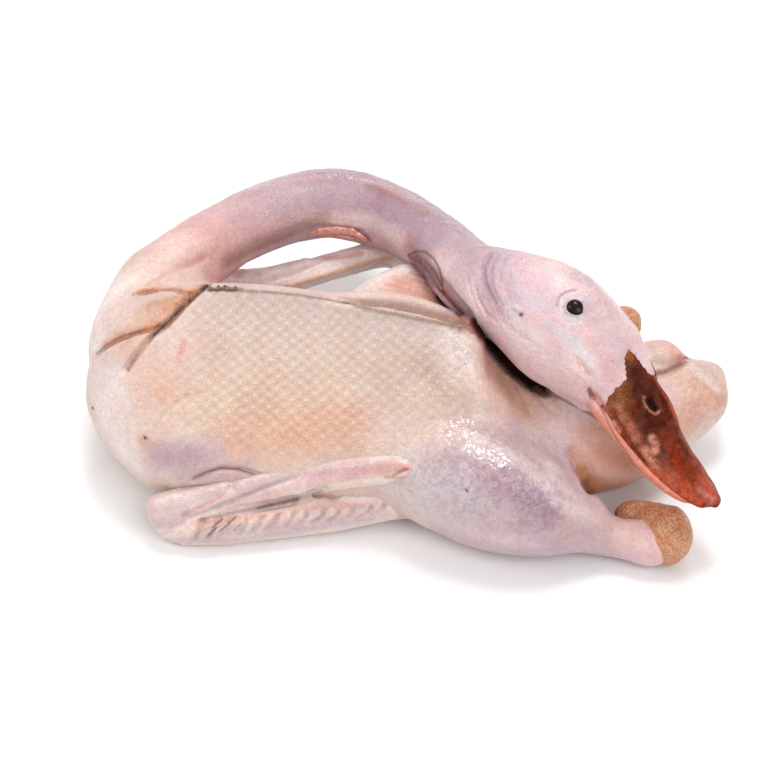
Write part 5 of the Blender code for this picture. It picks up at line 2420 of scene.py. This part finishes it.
KEEL_CRUST = Trim("keel_crust", (
    Strand(((209, 291), (215, 290.5), (223, 290), (231, 290), (239, 290)), 0.6, 0.6, 0.4),
    Strand(((210, 288), (212, 291)), 0.6, 0.5, 0.3),
    Strand(((218, 287), (220, 290)), 0.5, 0.5, 0.3),
    Strand(((225, 286.5), (228, 291)), 0.6, 0.5, 0.3),
    Strand(((236, 287), (237, 290)), 0.5, 0.5, 0.3),
), 1.1, 0.5)

PIN_STUBS = Trim("pin_stubs", (
    Strand(((92, 407), (93.5, 409)), 0.45, 0.45, 0.15),
    Strand(((144, 436), (146, 439)), 0.5, 0.5, 0.15),
    Strand(((466, 489), (468, 492)), 0.35, 0.35, 0.1),
), 1.5, 0.05)

WING_HAIRS = Trim("wing_hairs", (
    Strand(((206, 536), (218, 527)), 0.15, 0.13, 0.2),
    Strand(((211, 528), (223, 518)), 0.15, 0.13, 0.2),
    Strand(((218, 532), (230, 523)), 0.15, 0.13, 0.2),
    Strand(((225, 527), (237, 516)), 0.15, 0.13, 0.2),
    Strand(((233, 531), (242, 523)), 0.13, 0.12, 0.2),
), 1.5, 0.05)


@dataclass(frozen=True)
class Softbox:
    """One square soft light.

    Attributes:
        place: metres.
        size: metres across.
        power: watts.
        aim: the point in metres that it faces.
    """

    place: Place
    size: float
    power: float
    aim: Place = (0.0, 0.0, 0.03)

    def build(self, name: str) -> None:
        """Adds the light to the scene.

        Args:
            name: the light's name.
        """
        data = bpy.data.lights.new(name, "AREA")
        data.shape = "SQUARE"
        data.size = self.size
        data.energy = self.power
        light = bpy.data.objects.new(name, data)
        light.location = self.place
        toward = Vector(self.aim) - Vector(self.place)
        light.rotation_euler = toward.to_track_quat("-Z", "Y").to_euler()
        bpy.context.scene.collection.objects.link(light)


@dataclass
class Studio:
    """A pale floor under plain soft light.

    Attributes:
        half_floor: half the floor's width, in metres.
        sky: strength of the light from all round.
        boxes: the softboxes by their names.
    """

    half_floor: float = 3.0
    sky: float = 0.58
    boxes: dict[str, Softbox] = field(default_factory=lambda: {
        "key_softbox": Softbox((0.06, 0.26, 1.2), 0.35, 5.6),
        "rim_softbox": Softbox((0.1, 0.85, 0.65), 0.35, 2.2),
        "side_softbox": Softbox((-0.8, -0.2, 0.8), 0.5, 2.4),
        "fill_softbox": Softbox((0.4, -0.85, 1.0), 0.7, 6.2),
    })

    def build(self) -> None:
        """Adds the floor, the sky and the softboxes."""
        self.floor()
        world = bpy.data.worlds.new("studio")
        world.use_nodes = True
        background = world.node_tree.nodes["Background"]
        background.inputs["Color"].default_value = (1.0, 1.0, 1.0, 1.0)
        background.inputs["Strength"].default_value = self.sky
        bpy.context.scene.world = world
        bpy.context.scene.view_settings.view_transform = "Standard"
        for name, box in self.boxes.items():
            box.build(name)

    def floor(self) -> None:
        """Adds the floor that the bird lies on."""
        shape = bmesh.new()
        bmesh.ops.create_grid(shape, x_segments=1, y_segments=1, size=self.half_floor)
        floor = as_object("floor", shape)
        graph = Graph("pale_floor")
        shade = graph.spread(graph.noise(90.0, 2.0), 0.3, 0.7)
        graph.shade(
            Base_Color=graph.mix(shade, (0.93, 0.93, 0.93, 1.0), (0.91, 0.91, 0.915, 1.0)),
            Roughness=0.55,
        )
        cover(floor, graph.material)


def wing_loft(rows: Rows) -> Loft:
    """Returns a loft of a wing's section."""
    return Loft(rows, (WING_HALF_WIDTH, WING_HALF_WIDTH))


LEG_SIZE = (THIGH_RADIUS, THIGH_RADIUS)
NECK_SIZE = (NECK_RADIUS, NECK_RADIUS)
NECK = Loft(NECK_ROWS, NECK_SIZE, UP, (
    Tone.CREAM, Tone.CREAM, Tone.CREAM, Tone.ROSE, Tone.LILAC, Tone.MAUVE, Tone.MAUVE, Tone.LILAC))
HEAD = Loft(HEAD_ROWS, (HEAD_HALF_WIDTH, HEAD_HALF_DEPTH), CROWN,
            (Tone.LILAC, Tone.PINK, Tone.BLUSH, Tone.PINK))
NEAR_LEG = Loft(NEAR_LEG_ROWS, LEG_SIZE, UP, (Tone.CREAM, Tone.LILAC, Tone.LILAC, Tone.PINK))
FAR_LEG = Loft(FAR_LEG_ROWS, LEG_SIZE, UP, (Tone.CREAM, Tone.ROSE, Tone.ROSE, Tone.PINK))


def neck_part(first: int, last: int) -> Loft:
    """Returns a stretch of the neck, narrowed at its cut ends.

    Both parts of the neck follow the same surface, and each one's end hides in the other.

    Args:
        first: the first sample; there are eight from each row to the next.
        last: the sample before which it ends.
    """
    line = smooth_rows(NECK_ROWS, 8)
    part = line[first:last].copy()
    taper = np.linspace(0.8, 1.0, 7)[:, None]
    if first > 0:
        part[:7, 3:] *= taper
    if last < len(line):
        part[-7:, 3:] *= taper[::-1]
    return Loft(tuple(map(tuple, part)), NECK_SIZE, UP, steps=1)


CARCASS = Skin(
    name="skin", voxel=1.35, melt_steps=8, triangles=196000,
    limbs=(
        TrunkLoft(TRUNK_ROWS, (BODY_HALF_WIDTH, KEEL_HEIGHT), sides=96, steps=12),
        neck_part(0, 71),
        NEAR_LEG,
        FAR_LEG,
        Loft(FLANK_ROWS, (6.0, 6.0)),
        Loft(VENT_ROWS, (7.5, 7.0)),
        wing_loft(UPPER_ARM_ROWS),
        wing_loft(FAR_UPPER_ARM_ROWS),
    ),
    strokes=(FORM_STROKES, FOLD_STROKES),
    tints=NECK_TINTS + SKIN_TINTS, patches=NECK_PATCHES + SKIN_PATCHES,
    coats=(NECK, NEAR_LEG, FAR_LEG), soft=BODY_MELTS,
)
HEAD_SKIN = Skin(
    name="head_skin", voxel=1.05, melt_steps=10, triangles=190000,
    limbs=(neck_part(54, 97), HEAD),
    strokes=(HEAD_FORM_STROKES, HEAD_FOLD_STROKES),
    tints=NECK_TINTS + HEAD_TINTS, patches=NECK_PATCHES + HEAD_PATCHES,
    coats=(NECK, HEAD), soft=HEAD_MELTS,
)
NEAR_WING = Skin(
    name="near_wing", voxel=0.95, melt_steps=6, triangles=170000,
    limbs=(wing_loft(HAND_ROWS), wing_loft(FOREARM_ROWS)),
    strokes=(NEAR_WING_STROKES, quill_strokes()),
    tints=NEAR_WING_TINTS, patches=WING_PATCHES, rough=((6.0, 0.2), (2.2, 0.1)), base=Tone.IVORY,
)
# The far wing's milk-white base is painted light, whiter than the near wing's, to lift the neck's shade on
# it.
FAR_WING = Skin(
    name="far_wing", voxel=1.2, melt_steps=5, triangles=110000,
    limbs=(wing_loft(FAR_HAND_ROWS), wing_loft(FAR_FOREARM_ROWS)),
    strokes=(FAR_WING_STROKES,),
    tints=FAR_WING_TINTS, rough=((6.0, 0.2), (2.2, 0.1)), base=Tone.MILK,
)


def main() -> None:
    """Builds the scene piece by piece."""
    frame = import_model()
    CAMERA.build()
    Studio().build()
    finish = SkinFinish().build()
    skins = [skin.build(finish) for skin in (CARCASS, HEAD_SKIN, NEAR_WING, FAR_WING)]
    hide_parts("duck")
    body, head, wing = [Clay(skin) for skin in skins[:3]]
    pieces = {"skin": skins, "bill": Bill().build(head), "eye": Eyes().build(head, HEAD)}
    hide = HideFinish().build()
    pieces["hock"] = [hock.build(hide) for hock in HOCKS]
    flesh = FleshFinish("raw_flesh", Tone.ROSE, Tone.TERRA).build()
    flap = FleshFinish("skin_flap", Tone.PLUM, Tone.UMBER).build()
    crust = FleshFinish("dark_stubs", Tone.UMBER, Tone.SOOT).build()
    pieces["flesh"] = [
        NECK_FLESH.build(head, flesh),
        NECK_FLAP.build(head, flap),
        KEEL_CRUST.build(body, crust),
        PIN_STUBS.build(body, crust),
        WING_HAIRS.build(wing, crust),
    ]
    for slot, things in pieces.items():
        for thing in things:
            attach(thing, "root")
            log.info("%s: %d faces", thing.name, len(thing.data.polygons))


if __name__ == "__main__":
    logging.basicConfig(level=logging.INFO, format="%(relativeCreated)6d %(message)s")
    main()
